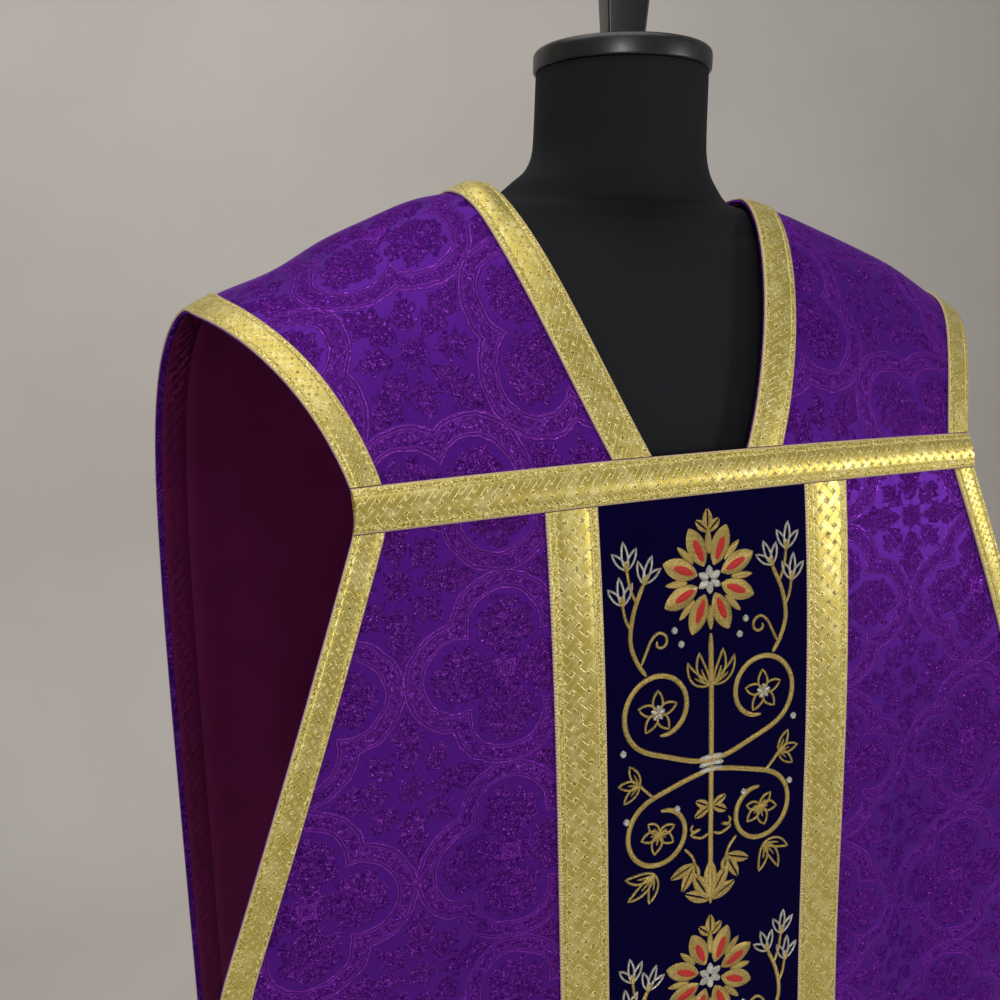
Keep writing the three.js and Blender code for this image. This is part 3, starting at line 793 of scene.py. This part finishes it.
# A damask sheet on its grid, with the cells above end left out of its middle for the neck
def damaskSheet(name, rows, neck, end, pattern, node):
    x, v = sheetGrid(rows, 0, sheets["damaskEdge"], sheets["damaskSide"], neck)
    points, faces = clothWall(x, v, *layers["damask"], neckOpening(rows, x.shape[1], end))
    uv = bothFaces(pattern(x, v))
    return makePiece(name, points, faces, "damask", [node], uv)


# A lining sheet in the same way, set back from the edges and lowered by its depth
def liningSheet(name, rows, neck, end, node):
    x, v = sheetGrid(rows, liningInset, sheets["liningEdge"], sheets["liningSide"], neck)
    outer, inner = layers["lining"]
    depth = liningDepth(x, v)
    keep = neckOpening(rows, x.shape[1], end)
    points, faces = clothWall(x, v, outer - depth, inner - depth, keep)
    uv = bothFaces(np.stack([inwardFromEdge(x, v), v], -1) * metre)
    return makePiece(name, points, faces, "lining", [node], uv)


halfGap = seamLine["gap"] / 2
roundNeck = [neckEnd - above for above in (12, 6, 3, 1.2, 0.3, 0)]
backStops = [
    seamLine["seam"] + halfGap, cut["ridgeV"], *roundNeck, neckEnd + liningInset,
    neckEnd + braidWidth["neck"], cut["ridgeV"] + cut["turnLength"], backHem - liningInset, backHem,
]
rows = spaced(backStops, sheets["damaskPitch"])
backPanel = damaskSheet("backPanel", rows, neckEdge(rows), neckEnd, backLattice, "back_panel")
rows = spaced(backStops[:-1], sheets["liningPitch"])
neck = neckEdge(rows) + np.where(rows < neckEnd, liningInset, 0)
backLining = liningSheet("backLining", rows, neck, neckEnd + liningInset, "back_lining")

noNeck = -math.inf
frontStops = [-cut["frontHem"], liningInset - cut["frontHem"], 0, seamLine["seam"] - halfGap]
rows = spaced(frontStops, sheets["damaskPitch"])
middle = np.full(len(rows), sheets["frontMiddle"])
frontPanel = damaskSheet("frontPanel", rows, middle, noNeck, frontLattice, "front_panel")
rows = spaced(frontStops[1:], sheets["frontLiningPitch"])
middle = np.full(len(rows), sheets["frontMiddle"])
frontLining = liningSheet("frontLining", rows, middle, noNeck, "front_lining")

underBand = seamLine["bandBottom"] - seamLine["gap"]
rows = spaced([braidWidth["edge"] - cut["frontHem"], underBand], sheets["velvetPitch"])
velvetHalf = braidWidth["orphreyInner"] - seamLine["gap"]
x = np.repeat(np.linspace(-velvetHalf, velvetHalf, sheets["velvetColumns"])[None], len(rows), 0)
v = np.repeat(rows[:, None], x.shape[1], 1)
points, faces = clothWall(x, v + hemShift(x, v), *layers["velvet"])
velvet = makePiece("orphreyVelvet", points, faces, "velvet", ["orphrey_velvet"])
print("sheets made")


# The braids. t runs from -1 to 1 across one. Its section is a crowned plait between two grooves,
# two ribs and edges that round off.
braid = {
    "across": [-1, -0.985, -0.95, -0.9, -0.84, -0.78, -0.72, -0.67, -0.63, -0.58, -0.4, -0.2, 0],
    "under": [0, 4, 8, 10, 12, 14, 16, 20, 24], "pitch": 4, "neckPitch": 3, "columns": 501,
    "roundFrom": 0.93, "edgeHigh": 0.8, "rib": 0.22, "ribAt": 0.79, "ribHalf": 0.09,
    "groove": 0.2, "grooveAt": 0.635, "grooveHalf": 0.03, "crown": 0.3, "crownTo": 0.62,
}
braidAcross = np.array(braid["across"] + [-t for t in braid["across"][-2::-1]])


# Two bells for the ribs, two narrow ones for the grooves, a parabola for the crown
def braidHeight(t):
    t = np.abs(t)
    past = np.clip((t - braid["roundFrom"]) / (1 - braid["roundFrom"]), 0, 1)
    edge = braid["edgeHigh"] * (1 - np.sqrt(1 - past * past))
    rib = braid["rib"] * np.exp(-(((t - braid["ribAt"]) / braid["ribHalf"]) ** 2))
    groove = braid["groove"] * np.exp(-(((t - braid["grooveAt"]) / braid["grooveHalf"]) ** 2))
    crown = braid["crown"] * np.clip(1 - (t / braid["crownTo"]) ** 2, 0, 1)
    return layers["galloon"][0] - edge + rib - groove + crown


# A braid whose grid has t across: its top follows the section, its underside is a few long
# strips, and its ends are single faces
def braidWall(x, v, uv, height):
    count, columns = x.shape
    points = drapedPoint(x, v)
    normals = outward(drapedPoint, x, v)
    few = braid["under"]
    top = points + normals * height[..., None]
    bottom = points[:, few] + normals[:, few] * layers["galloon"][1]
    number = np.arange(count * columns).reshape(count, columns)
    under = np.arange(count * len(few)).reshape(count, -1) + count * columns
    upper = np.stack([number[:-1, :-1], number[:-1, 1:], number[1:, 1:], number[1:, :-1]], -1)
    lower = np.stack([under[:-1, :-1], under[1:, :-1], under[1:, 1:], under[:-1, 1:]], -1)
    low = np.stack([number[:-1, 0], number[1:, 0], under[1:, 0], under[:-1, 0]], -1)
    high = np.stack([under[:-1, -1], under[1:, -1], number[1:, -1], number[:-1, -1]], -1)
    start = np.concatenate([under[0], number[0, ::-1]])[None]
    end = np.concatenate([number[-1], under[-1, ::-1]])[None]
    faces = [upper.reshape(-1, 4), lower.reshape(-1, 4), low, high, start, end]
    uv = np.concatenate([uv.reshape(-1, 2), uv[:, few].reshape(-1, 2)])
    return np.concatenate([top.reshape(-1, 3), bottom.reshape(-1, 3)]), faces, uv


# Running length of a line of the cloth, point to point
def lengthAlong(x, v):
    step = np.linalg.norm(np.diff(drapedPoint(x, v), axis=0), axis=-1)
    return np.concatenate([[0], np.cumsum(step)])


# A braid of rows v whose outer side follows an edge function. The weave
# runs square to the strip, so s grows with the offset where the strip slants.
def strapBraid(rows, width, edge, side):
    wide = slant(edge, rows)
    centre = side * (edge(rows) - wide * width / 2)
    offset = wide[:, None] * width / 2 * braidAcross
    x = centre[:, None] + offset
    v = np.repeat(rows[:, None], x.shape[1], 1)
    slope = np.gradient(centre, rows)
    sway = (slope / np.hypot(1, slope))[:, None]
    s = (lengthAlong(centre, rows)[:, None] + offset * sway) / (width / 2)
    t = np.repeat(braidAcross[None], len(rows), 0)
    return braidWall(x, v + hemShift(x, v), np.stack([t, s], -1), braidHeight(t))


# Parts of (points, faces, uv) as one, each part's faces counted on from the last
def joinParts(parts):
    starts = np.cumsum([0] + [len(part[0]) for part in parts])
    faces = [group + start for part, start in zip(parts, starts) for group in part[1]]
    points = np.concatenate([part[0] for part in parts])
    return points, faces, np.concatenate([part[2] for part in parts])


# The wide braid beside the velvet runs straight, at one distance from the centre line
def orphreyEdge(v):
    return braidWidth["orphreyOuter"] + 0 * v


# One finished braid from (points, faces, uv), in place of its CAD node
def makeBraid(name, part, node):
    points, faces, uv = part
    return makePiece(name, points, faces, "galloon", [node], uv)


aboveBand = seamLine["bandTop"] + seamLine["gap"]
backSpan = spaced([aboveBand, cut["ridgeV"], backHem - braidWidth["edge"]], braid["pitch"])
frontSpan = spaced([braidWidth["edge"] - cut["frontHem"], underBand], braid["pitch"])
orphreyWide = braidWidth["orphreyOuter"] - braidWidth["orphreyInner"]
for side, word in [(-1, "right"), (1, "left")]:
    part = strapBraid(backSpan, braidWidth["edge"], outerEdge, side)
    makeBraid(f"armholeBraid.{word}", part, f"armhole_galloon_{word}")
    part = strapBraid(frontSpan, braidWidth["edge"], outerEdge, side)
    makeBraid(f"frontBraid.{word}", part, f"front_galloon_{word}")
    part = strapBraid(frontSpan, orphreyWide, orphreyEdge, side)
    makeBraid(f"orphreyBraid.{word}", part, f"orphrey_galloon_{word}")


# A braid from side to side of the cloth, between two heights. Its middle is raised by an arch
# that falls to nothing with the square of t.
def crossBraid(bottom, top, arch):
    v, along = np.meshgrid((bottom + top) / 2 + (top - bottom) / 2 * braidAcross,
                           np.linspace(-1, 1, braid["columns"]))
    x = along * outerEdge(v)
    length = lengthAlong(x[:, len(braidAcross) // 2], v[:, len(braidAcross) // 2])
    s = (length - length[-1] / 2)[:, None] / ((top - bottom) / 2) + 0 * v
    t = np.repeat(braidAcross[None], len(x), 0)
    # turned over so that the top faces out: the columns of braidWall run along x here
    x, v, t, s = x[::-1], v[::-1], t[::-1], s[::-1]
    return braidWall(x, v + hemShift(x, v), np.stack([t, s], -1), braidHeight(t) + arch * (1 - t * t))


# The neck braid goes up one side of the opening, round the back and down the other side: its rows
# lie level in front and stand square to the edge behind, and s is the run of its middle line
def neckStrip(width):
    front = spaced([aboveBand, cut["ridgeV"]], braid["neckPitch"])[:-1]
    behind = np.linspace(0, np.pi / 2, 40)
    wide, deep = neckEdge(cut["ridgeV"]) - cut["neckBackHalf"], cut["neckBackDepth"]
    across = np.linspace(cut["neckBackHalf"], 0, 16)[1:]
    edge = np.concatenate([
        np.stack([neckEdge(front), front], 1),
        np.stack([cut["neckBackHalf"] + wide * np.cos(behind), cut["ridgeV"] + deep * np.sin(behind)], 1),
        np.stack([across, 0 * across + neckEnd], 1),
    ])
    square = np.stack([deep * np.cos(behind), wide * np.sin(behind)], 1)
    out = np.concatenate([
        np.stack([slant(neckEdge, front), 0 * front], 1),
        square / np.linalg.norm(square, axis=1, keepdims=True),
        np.stack([0 * across, 1 + 0 * across], 1),
    ])
    mirror = np.array([-1, 1])
    edge = np.concatenate([edge, edge[-2::-1] * mirror])
    out = np.concatenate([out, out[-2::-1] * mirror])
    centre = edge + out * width / 2
    place = centre[:, None] + out[:, None] * (width / 2 * braidAcross)[:, None]
    along = np.gradient(centre, axis=0)
    along /= np.linalg.norm(along, axis=1, keepdims=True)
    sway = ((place - centre[:, None]) * along[:, None]).sum(-1)
    s = (lengthAlong(*centre.T)[:, None] + sway) / (width / 2)
    t = np.repeat(braidAcross[None], len(s), 0)
    return braidWall(place[..., 0], place[..., 1], np.stack([t, s], -1), braidHeight(t))


makeBraid("neckBraid", neckStrip(braidWidth["neck"]), "neck_galloon")
hemHigh = braidWidth["edge"] - seamLine["gap"]
part = crossBraid(-cut["frontHem"], hemHigh - cut["frontHem"], 0)
makeBraid("frontHemBraid", part, "front_hem_galloon")
makeBraid("backHemBraid", crossBraid(backHem - hemHigh, backHem, 0), "back_hem_galloon")
part = crossBraid(seamLine["bandBottom"], seamLine["bandTop"], seamLine["bandArch"])
makeBraid("chestBand", part, "chest_band")
print("braids made")


# Needlework on the velvet: closed, domed strips of metal thread along lines (x, v). A strip is a
# ring of six points carried along its line and sunk a little in the pile, and "across" and "rise"
# are the ring. The motif is worked three times down the velvet.
needle = {
    "stem": 4.2, "curl": 4.0, "tie": 3.9, "branch": 3.4, "thin": 2.3, "tendril": 2.2, "cord": 1.9,
    "leafCord": 1.8, "budCord": 1.7, "step": 2.0, "high": 1.1, "sunk": 0.3,
    "across": [-1, -0.72, 0, 0.72, 1, 0], "rise": [0, 0.7, 1, 0.7, 0, 0],
    "period": 287, "first": -147, "count": 3,
}
threadParts = {"gold": [], "silver": [], "red": []}


# A smooth curve through points: on each stretch the four-term blend of Catmull and Rom
def smoothLine(through, step):
    p = np.array(through, float)
    p = np.concatenate([[2 * p[0] - p[1]], p, [2 * p[-1] - p[-2]]])
    pieces = []
    for a, b, c, d in zip(p, p[1:], p[2:], p[3:]):
        t = np.linspace(0, 1, max(2, round(np.linalg.norm(c - b) / step)), endpoint=False)[:, None]
        pieces.append(0.5 * (2 * b + (c - a) * t + (2 * a - 5 * b + 4 * c - d) * t**2
                             + (3 * b - a - 3 * c + d) * t**3))
    return np.concatenate([*pieces, p[-2:-1]])


# A spiral whose radius goes evenly from outer to inner
def curl(centre, outer, inner, start, turns):
    count = round(abs(turns) * np.pi * (outer + inner) / 2.4)
    share = np.linspace(0, 1, count)
    angle = np.radians(start) + 2 * np.pi * turns * share
    radius = outer + (inner - outer) * share
    return np.stack([centre[0] + radius * np.cos(angle), centre[1] + radius * np.sin(angle)], 1)


# Six points round each point of the line: across times half the width, rise times the height
def threadStrip(kind, line, width, high, lift=0):
    line = np.array(line, float)
    along = np.gradient(line, axis=0)
    along /= np.linalg.norm(along, axis=1, keepdims=True)
    sideways = np.stack([along[:, 1], -along[:, 0]], 1)
    across, rise = np.array(needle["across"]), np.array(needle["rise"])
    half = np.broadcast_to(width, len(line)) / 2
    place = line[:, None] + sideways[:, None] * (half[:, None] * across)[..., None]
    taper = np.minimum(1, half / half.max() * 1.6)[:, None]
    height = lift - needle["sunk"] + (high + needle["sunk"]) * rise * taper
    rings = np.concatenate([place, height[..., None]], -1)
    points, faces = ringSolid(rings, np.append(line[0], lift), np.append(line[-1], lift))
    run = np.concatenate([[0], np.cumsum(np.linalg.norm(np.diff(line, axis=0), axis=1))])
    uv = np.stack([half[:, None] * across, run[:, None] + 0 * half[:, None] * across], -1).reshape(-1, 2)
    uv = np.concatenate([uv, [[0, run[0]], [0, run[-1]]]])
    threadParts[kind].append((points, faces, uv))


# A cord that narrows with a square root over its last few parts
def stem(kind, line, width, ends=0.45):
    share = np.linspace(0, 1, len(line))
    taper = ends + (1 - ends) * np.sqrt(np.clip(np.minimum(share, 1 - share) / 0.06, 0, 1))
    threadStrip(kind, line, width * taper, needle["high"])


# A line out from a point, which turns away with the square of its share
def reachLine(base, angle, reach, bend, share):
    turn = np.radians(angle + bend * share**2)
    return np.stack([base[0] + reach * np.cos(turn), base[1] + reach * np.sin(turn)], 1)


# A petal or small leaf: a short strip whose width swells and closes like a sine
def petal(kind, base, angle, start, end, width, bend=0, lift=0, high=1.2):
    share = np.linspace(0, 1, 9)
    line = reachLine(base, angle, start + (end - start) * share, bend, share)
    threadStrip(kind, line, width * (0.12 + 0.88 * np.sin(np.pi * share) ** 0.75), high, lift)


# A leaf of two halves with a vein of bare velvet between them
def leaf(kind, base, angle, length, width):
    share = np.linspace(0, 1, 11)
    line = reachLine(base, angle, length * share, 0, share)
    swell = np.sin(np.pi * np.clip(share, 0.02, 0.97)) ** 0.8
    turn = np.radians(angle)
    sideways = np.array([[math.sin(turn), -math.cos(turn)]])
    for half in (-1, 1):
        offset = half * (0.35 + width / 4 * swell)
        threadStrip(kind, line + sideways * offset[:, None], width / 2 * swell, 1.0)


# An open petal or leaf: a cord laid round its outline, from its foot over the tip and back
def loop(kind, base, angle, length, width, cord, bend=0, vein=0.62):
    share = np.linspace(0, 1, max(7, round(length / 2)))
    line = reachLine(base, angle, length * share, bend, share)
    turn = np.radians(angle + bend * share**2)
    swell = (width - cord) / 2 * np.sin(np.pi * share ** 0.9) ** 0.8
    sideways = np.stack([np.sin(turn), -np.cos(turn)], 1) * swell[:, None]
    outline = np.concatenate([line + sideways, (line - sideways)[-2::-1]])
    threadStrip(kind, outline, np.full(len(outline), cord), needle["high"])
    if vein:
        stem(kind, line[:max(3, round(len(line) * vein))], cord * 0.8)


# Petals at equal angles round a centre
def flower(kind, centre, petals, start, end, width, turn=0, lift=0, high=1.2):
    for k in range(petals):
        petal(kind, centre, turn + 360 * k / petals, start, end, width, 0, lift, high)


# One motif: an open flower over a stem, two pairs of curls with blossoms in them, leaves, buds
def motif(middle):
    def at(side, *points):
        return [(side * px, middle + py) for px, py in points]

    def angled(side, angle):
        return angle if side > 0 else 180 - angle

    def vine(side, kind, width, *points):
        stem(kind, smoothLine(at(side, *points), needle["step"]), width)

    def spray(side, place, *leaves, kind="gold"):
        (bx, by), = at(side, place)
        for angle, length, width in leaves:
            leaf(kind, (bx, by), angled(side, angle), length, width)

    vine(1, "gold", needle["stem"], (0, -139), (0, -60), (0, 20), (0, 56))
    flower("gold", (0, middle + 92), 8, 10, 38, 15.5, 22.5)
    flower("red", (0, middle + 92), 8, 13, 31, 6.4, 22.5, 0.7, 1.25)
    flower("gold", (0, middle + 92), 8, 17, 34, 5.4, 0)
    flower("silver", (0, middle + 92), 6, 1.2, 9.6, 5.6, 30, 0.2)
    spray(1, (0, 124), (90, 15, 7.5), (40, 12, 6.5), (140, 12, 6.5))
    spray(1, (0, -136), (90, 30, 11), (58, 27, 10), (122, 27, 10), (24, 22, 9), (156, 22, 9))
    for low in (-31, -35.5, -40):
        vine(1, "silver", needle["tie"], (-9.5, low), (0, low + 0.8), (9.5, low))
    for side in (-1, 1):
        coil = curl((40, 10), 29, 17, -70, 0.98)[::4]
        vine(side, "gold", needle["curl"], (0, -33), (16, -30), (34, -23.5), *coil)
        coil = curl((40, -77), 27, 16, 70, -0.98)[::4]
        vine(side, "gold", needle["curl"], (0, -39), (16, -42), (33, -46.5), *coil)
        (cx, cy), = at(side, (42, 9))
        for k in range(5):
            loop("gold", (cx, cy), angled(side, 20 + 72 * k), 15, 9.5, needle["cord"], vein=0)
        flower("silver", (cx, cy), 5, 0.6, 5.4, 3.4, angled(side, 20), 0.9)
        (cx, cy), = at(side, (41, -76))
        petals = [(-75, 15, 10), (-10, 14, 9.5), (-140, 14, 9.5), (45, 12, 8), (165, 12, 8)]
        for angle, length, wide in petals:
            loop("gold", (cx, cy), angled(side, angle), length, wide, needle["cord"])
        # leaves between and round the curls
        vine(side, "gold", needle["thin"], (45, -50), (52, -43), (57, -37))
        for angle in (8, 62, -42):
            loop("gold", at(side, (56, -38))[0], angled(side, angle), 16, 8, needle["leafCord"])
        vine(side, "gold", needle["thin"], (21, -93), (15, -100), (12, -108))
        spray(side, (13, -106), (-62, 21, 8), (-20, 20, 8), (-100, 13, 6.5))
        for angle, length in [(-8, 22), (-48, 25), (-90, 21)]:
            loop("gold", at(side, (45, -105))[0], angled(side, angle), length, 9, needle["cord"], -12)
        for angle, length, bend in [(22, 24, 25), (58, 24, 14)]:
            foot, = at(side, (1.8, 21))
            loop("gold", foot, angled(side, angle), length, 9, needle["cord"], side * bend)
        spray(side, (1.5, -66), (-28, 13, 6.5), (28, 12, 6))
        # a branch with three buds beside the open flower
        vine(side, "gold", needle["branch"], (50, 35), (57, 46), (61, 60), (58, 78), (50, 96))
        vine(side, "gold", needle["thin"], (60, 66), (64, 74), (66, 84))
        vine(side, "gold", needle["thin"], (56, 84), (60, 94), (62, 106))
        for place, angle in [((50, 96), 112), ((66, 84), 84), ((62, 106), 84)]:
            (bx, by), = at(side, place)
            for spread, length in [(0, 18), (36, 15), (-36, 15)]:
                turned = angled(side, angle + spread)
                loop("silver", (bx, by), turned, length, 6.2, needle["budCord"], vein=0)
            petal("gold", (bx, by), angled(side, angle), -2, 6, 4.6, 0, 0.4)
        # tendrils and berries
        tip = curl((39, 56), 7, 2.6, 20, 1.0)[::2]
        vine(side, "gold", needle["thin"], (54, 42), (50, 50), *tip)
        tip = curl((13, -79), 6, 2.4, 60, 1.0)[::2]
        vine(side, "gold", needle["tendril"], (2, -86), (8, -88), (16, -84), *tip[2:])
        for berry in [(28, 62), (23, 52), (66, -62), (68, -14), (27, -62)]:
            (bx, by), = at(side, berry)
            petal("silver", (bx, by), 90, -2.6, 2.6, 5.2, 0, 0, 1.5)


for k in range(needle["count"]):
    motif(needle["first"] - needle["period"] * k)
for kind, parts in threadParts.items():
    points, faces, uv = joinParts(parts)
    x, v, high = points.T
    normals = outward(drapedPoint, x, v)
    points = drapedPoint(x, v) + normals * (layers["velvet"][0] + high)[:, None]
    makePiece(f"needlework.{kind}", points, faces, "galloon", (), uv, kind + "Thread", layer="stitch")
print("needlework made")


# The dress form: rings from the hips to the neck, with half widths, depths in front and behind,
# and the power of the rounded section. A ring of no height touches the shoulder cloth.
form = {
    "height": [762, 800, 900, 980, 1040, 1120, 1200, 1270, 1320, 1360, 1388,
               0, 0, 0, 0, 0, 0, 1450, 1460, 1474, 1523.7],
    "half": [172, 178, 178, 166, 158, 166, 180, 190, 200, 211, 216,
             212, 190, 165, 140, 118, 98, 82, 69, 62, 60],
    "front": [108, 112, 110, 102, 98, 106, 112, 108, 92, 74, 58,
              50, 46, 47, 51, 55, 58, 60, 60, 60, 60],
    "back": [112, 116, 112, 98, 90, 93, 100, 106, 104, 92, 76,
             60, 54, 53, 55, 58, 60, 62, 62, 61, 60],
    "power": [2.2, 2.2, 2.2, 2.2, 2.2, 2.2, 2.2, 2.1, 2, 1.85, 1.7,
              1.5, 1.35, 1.25, 1.2, 1.2, 1.3, 1.5, 1.8, 2, 2],
    "gap": 2.8, "between": 4, "sides": 112,
}


# Values between the rings of a table: each stretch bends smoothly to the slopes at its ends
def smoothTable(values, between):
    values = np.array(values, float)
    place = np.linspace(0, len(values) - 1, between * (len(values) - 1) + 1)
    first = np.minimum(place.astype(int), len(values) - 2)
    t = place - first
    step = np.diff(values)
    slope = np.zeros(len(values))
    same = step[:-1] * step[1:] > 0
    slope[1:-1][same] = 2 * step[:-1][same] * step[1:][same] / (step[:-1] + step[1:])[same]
    slope[0], slope[-1] = step[0], step[-1]
    return ((2 * t**3 - 3 * t**2 + 1) * values[first] + (t**3 - 2 * t**2 + t) * slope[first]
            + (3 * t**2 - 2 * t**3) * values[first + 1] + (t**3 - t**2) * slope[first + 1])


# A ring is |sin|^(2/power) times the half width and |cos|^(2/power) times the depth
half = np.array(form["half"], float)
onShoulder = ridgeHeight(half) + layers["lining"][1] - form["gap"]
heights = np.where(np.array(form["height"]) > 0, form["height"], onShoulder)
ringHeight = smoothTable(heights, form["between"])
half, front, back, power = [smoothTable(form[key], form["between"])[:, None]
                            for key in ("half", "front", "back", "power")]
angle = -np.linspace(0, 2 * np.pi, form["sides"], endpoint=False)[None]
sine, cosine = np.sin(angle), np.cos(angle)
depth = np.where(cosine < 0, front, back)
rings = np.stack([
    np.sign(sine) * half * np.abs(sine) ** (2 / power),
    np.sign(cosine) * depth * np.abs(cosine) ** (2 / power),
    np.repeat(ringHeight[:, None], form["sides"], 1),
], -1)
points, faces = ringSolid(rings, [0, 0, heights[0]], [0, 0, heights[-1]])
makePiece("formBody", points, faces, "jersey", ["form_body"])

cap = {"low": 1524, "radius": 62, "height": 14, "under": 1.5, "round": 4.5}
capTop = cap["low"] + cap["height"]
profile = roundedCorner((cap["radius"] - cap["under"], cap["low"] + cap["under"]), cap["under"], -90, 0)
profile += roundedCorner((cap["radius"] - cap["round"], capTop - cap["round"]), cap["round"], 0, 90)
makePiece("neckCap", *turnedSolid(profile), "lacquer", ["neck_cap"])

# The knob on the cap: a square with small rounded corners that widens upwards
finial = {"low": 1538.3, "bottom": 17.5, "top": 27, "height": 96, "turn": 0.515, "bevel": 1.6,
          "levels": [(0, 0.8), (0.008, 0), (0.25, 0), (0.5, 0), (0.75, 0), (0.992, 0), (1, 0.8)]}
share, inset = np.array(finial["levels"]).T[:, :, None]
corner = np.repeat(finial["turn"] + np.pi / 2 * np.arange(4), 6)[None]
turned = corner + np.tile(np.linspace(-np.pi / 4, np.pi / 4, 6), 4)[None]
reach = finial["bottom"] + (finial["top"] - finial["bottom"]) * share - inset
reach = reach - finial["bevel"] * (math.sqrt(2) - 1)
rings = np.stack([
    reach * np.cos(corner) + finial["bevel"] * (np.cos(turned) - np.cos(corner)),
    reach * np.sin(corner) + finial["bevel"] * (np.sin(turned) - np.sin(corner)),
    finial["low"] + finial["height"] * share + 0 * corner,
], -1)
points, faces = ringSolid(rings, [0, 0, finial["low"]], [0, 0, finial["low"] + finial["height"]])
makePiece("finial", points, faces, "lacquer", ["finial"], sharp=25)

# The stand, as profiles of (radius, height) with rounded corners
stand = {
    "socket": {"radius": 27, "low": 721.7, "high": 761.7, "round": 2, "sides": 64},
    "pole": {"radius": 16, "low": 50.3, "high": 721.4, "round": 1, "sides": 48},
    "base": {"radius": 205, "low": 0, "high": 16, "round": 5, "sides": 128},
    "hub": {"foot": (44, 18.3), "footRound": 2, "flare": [(45, 22), (38, 29), (32, 38), (28.5, 46)],
            "top": (25.5, 48.5), "topRound": 1.5, "sides": 72},
}


# A round post with its lower and upper edge rounded
def roundedPost(size):
    inner = size["radius"] - size["round"]
    profile = roundedCorner((inner, size["low"] + size["round"]), size["round"], -90, 0)
    profile += roundedCorner((inner, size["high"] - size["round"]), size["round"], 0, 90)
    return turnedSolid(profile, size["sides"])


makePiece("formSocket", *roundedPost(stand["socket"]), "steel", ["form_socket"])
makePiece("standPole", *roundedPost(stand["pole"]), "steel", ["stand_pole"])
hub = stand["hub"]
profile = roundedCorner(hub["foot"], hub["footRound"], -90, 0) + hub["flare"]
profile += roundedCorner(hub["top"], hub["topRound"], 0, 90)
makePiece("baseHub", *turnedSolid(profile, hub["sides"]), "steel", ["base_hub"])
makePiece("standBase", *roundedPost(stand["base"]), "steel", ["stand_base"])
print("form and stand made")


# Studio: a pale floor that sweeps up into the backdrop, soft lights, and the camera
lights = {
    "ceilingLight": {"place": (-0.4, -0.2, 3.3), "size": (2.6, 2.4), "power": 37,
                     "colour": (1, 0.98, 0.95)},
    "keyLight": {"place": (2.0, -2.0, 1.4), "size": (0.5, 0.6), "power": 22,
                 "colour": (1, 0.98, 0.96)},
    "sideLight": {"place": (-1.5, -2.6, 1.7), "size": (0.4, 0.6), "power": 30,
                  "colour": (0.97, 0.98, 1)},
}
lightTarget = Vector((0, 0, 1.2))
for name, soft in lights.items():
    data = bpy.data.lights.new(name, "AREA")
    data.shape = "RECTANGLE"
    data.size, data.size_y = soft["size"]
    data.energy = soft["power"]
    data.color = soft["colour"]
    light = bpy.data.objects.new(name, data)
    light.rotation_euler = (lightTarget - Vector(soft["place"])).to_track_quat("-Z", "Y").to_euler()
    light.location = soft["place"]
    bpy.context.scene.collection.objects.link(light)

room = {"colour": (0.93, 0.94, 0.97, 1), "strength": 0.24}
world = bpy.data.worlds.new("softRoom")
world.use_nodes = True
world.node_tree.nodes["Background"].inputs["Color"].default_value = room["colour"]
world.node_tree.nodes["Background"].inputs["Strength"].default_value = room["strength"]
bpy.context.scene.world = world
bpy.context.scene.view_settings.view_transform = "Standard"

sweep = {"front": -3.5, "back": 1.2, "round": 0.7, "top": 3.8, "side": 4,
         "dull": rgb(196, 190, 182), "pale": rgb(212, 207, 200), "patch": 420}
curve = np.radians(np.linspace(0, 90, 25))
depth = [sweep["front"], *(sweep["back"] + sweep["round"] * np.sin(curve))]
depth.append(sweep["back"] + sweep["round"])
height = [0, *(sweep["round"] * (1 - np.cos(curve))), sweep["top"]]
points = np.stack([
    np.tile([-sweep["side"], sweep["side"]], len(depth)), np.repeat(depth, 2), np.repeat(height, 2),
], -1)
number = np.arange(len(depth) * 2).reshape(-1, 2)
quads = np.stack([number[:-1, 0], number[:-1, 1], number[1:, 1], number[1:, 0]], -1)
paper = Finish("palePaper", Roughness=0.92)
paper.feed("Base Color", paper.mix(paper.noise(sweep["patch"], 3), sweep["dull"], sweep["pale"]))
mesh = bpy.data.meshes.new("floorSweep")
mesh.from_pydata(points.tolist(), [], quads.tolist())
mesh.shade_smooth()
mesh.materials.append(paper.material)
floor = bpy.data.objects.new("floorSweep", mesh)
bpy.context.scene.collection.objects.link(floor)

# The camera looks along yaw and pitch, and rolls a little; the picture is square
view = {"place": (-0.334, -0.590, 1.394), "yaw": 22.4, "pitch": 14.9, "roll": 0.2, "lens": 31.68}
yaw, pitch, roll = [math.radians(view[key]) for key in ("yaw", "pitch", "roll")]
ahead = Vector((math.sin(yaw) * math.cos(pitch), math.cos(yaw) * math.cos(pitch), -math.sin(pitch)))
right = Vector((math.cos(yaw), -math.sin(yaw), 0))
upward = right.cross(ahead)
turn = Matrix((
    math.cos(roll) * right + math.sin(roll) * upward,
    math.cos(roll) * upward - math.sin(roll) * right,
    -ahead,
)).transposed().to_4x4()
turn.translation = view["place"]
lens = bpy.data.cameras.new("photoView")
lens.lens = view["lens"]
lens.sensor_width = 36
lens.clip_start = 0.02
camera = bpy.data.objects.new("photoView", lens)
camera.matrix_world = turn
bpy.context.scene.collection.objects.link(camera)
bpy.context.scene.camera = camera
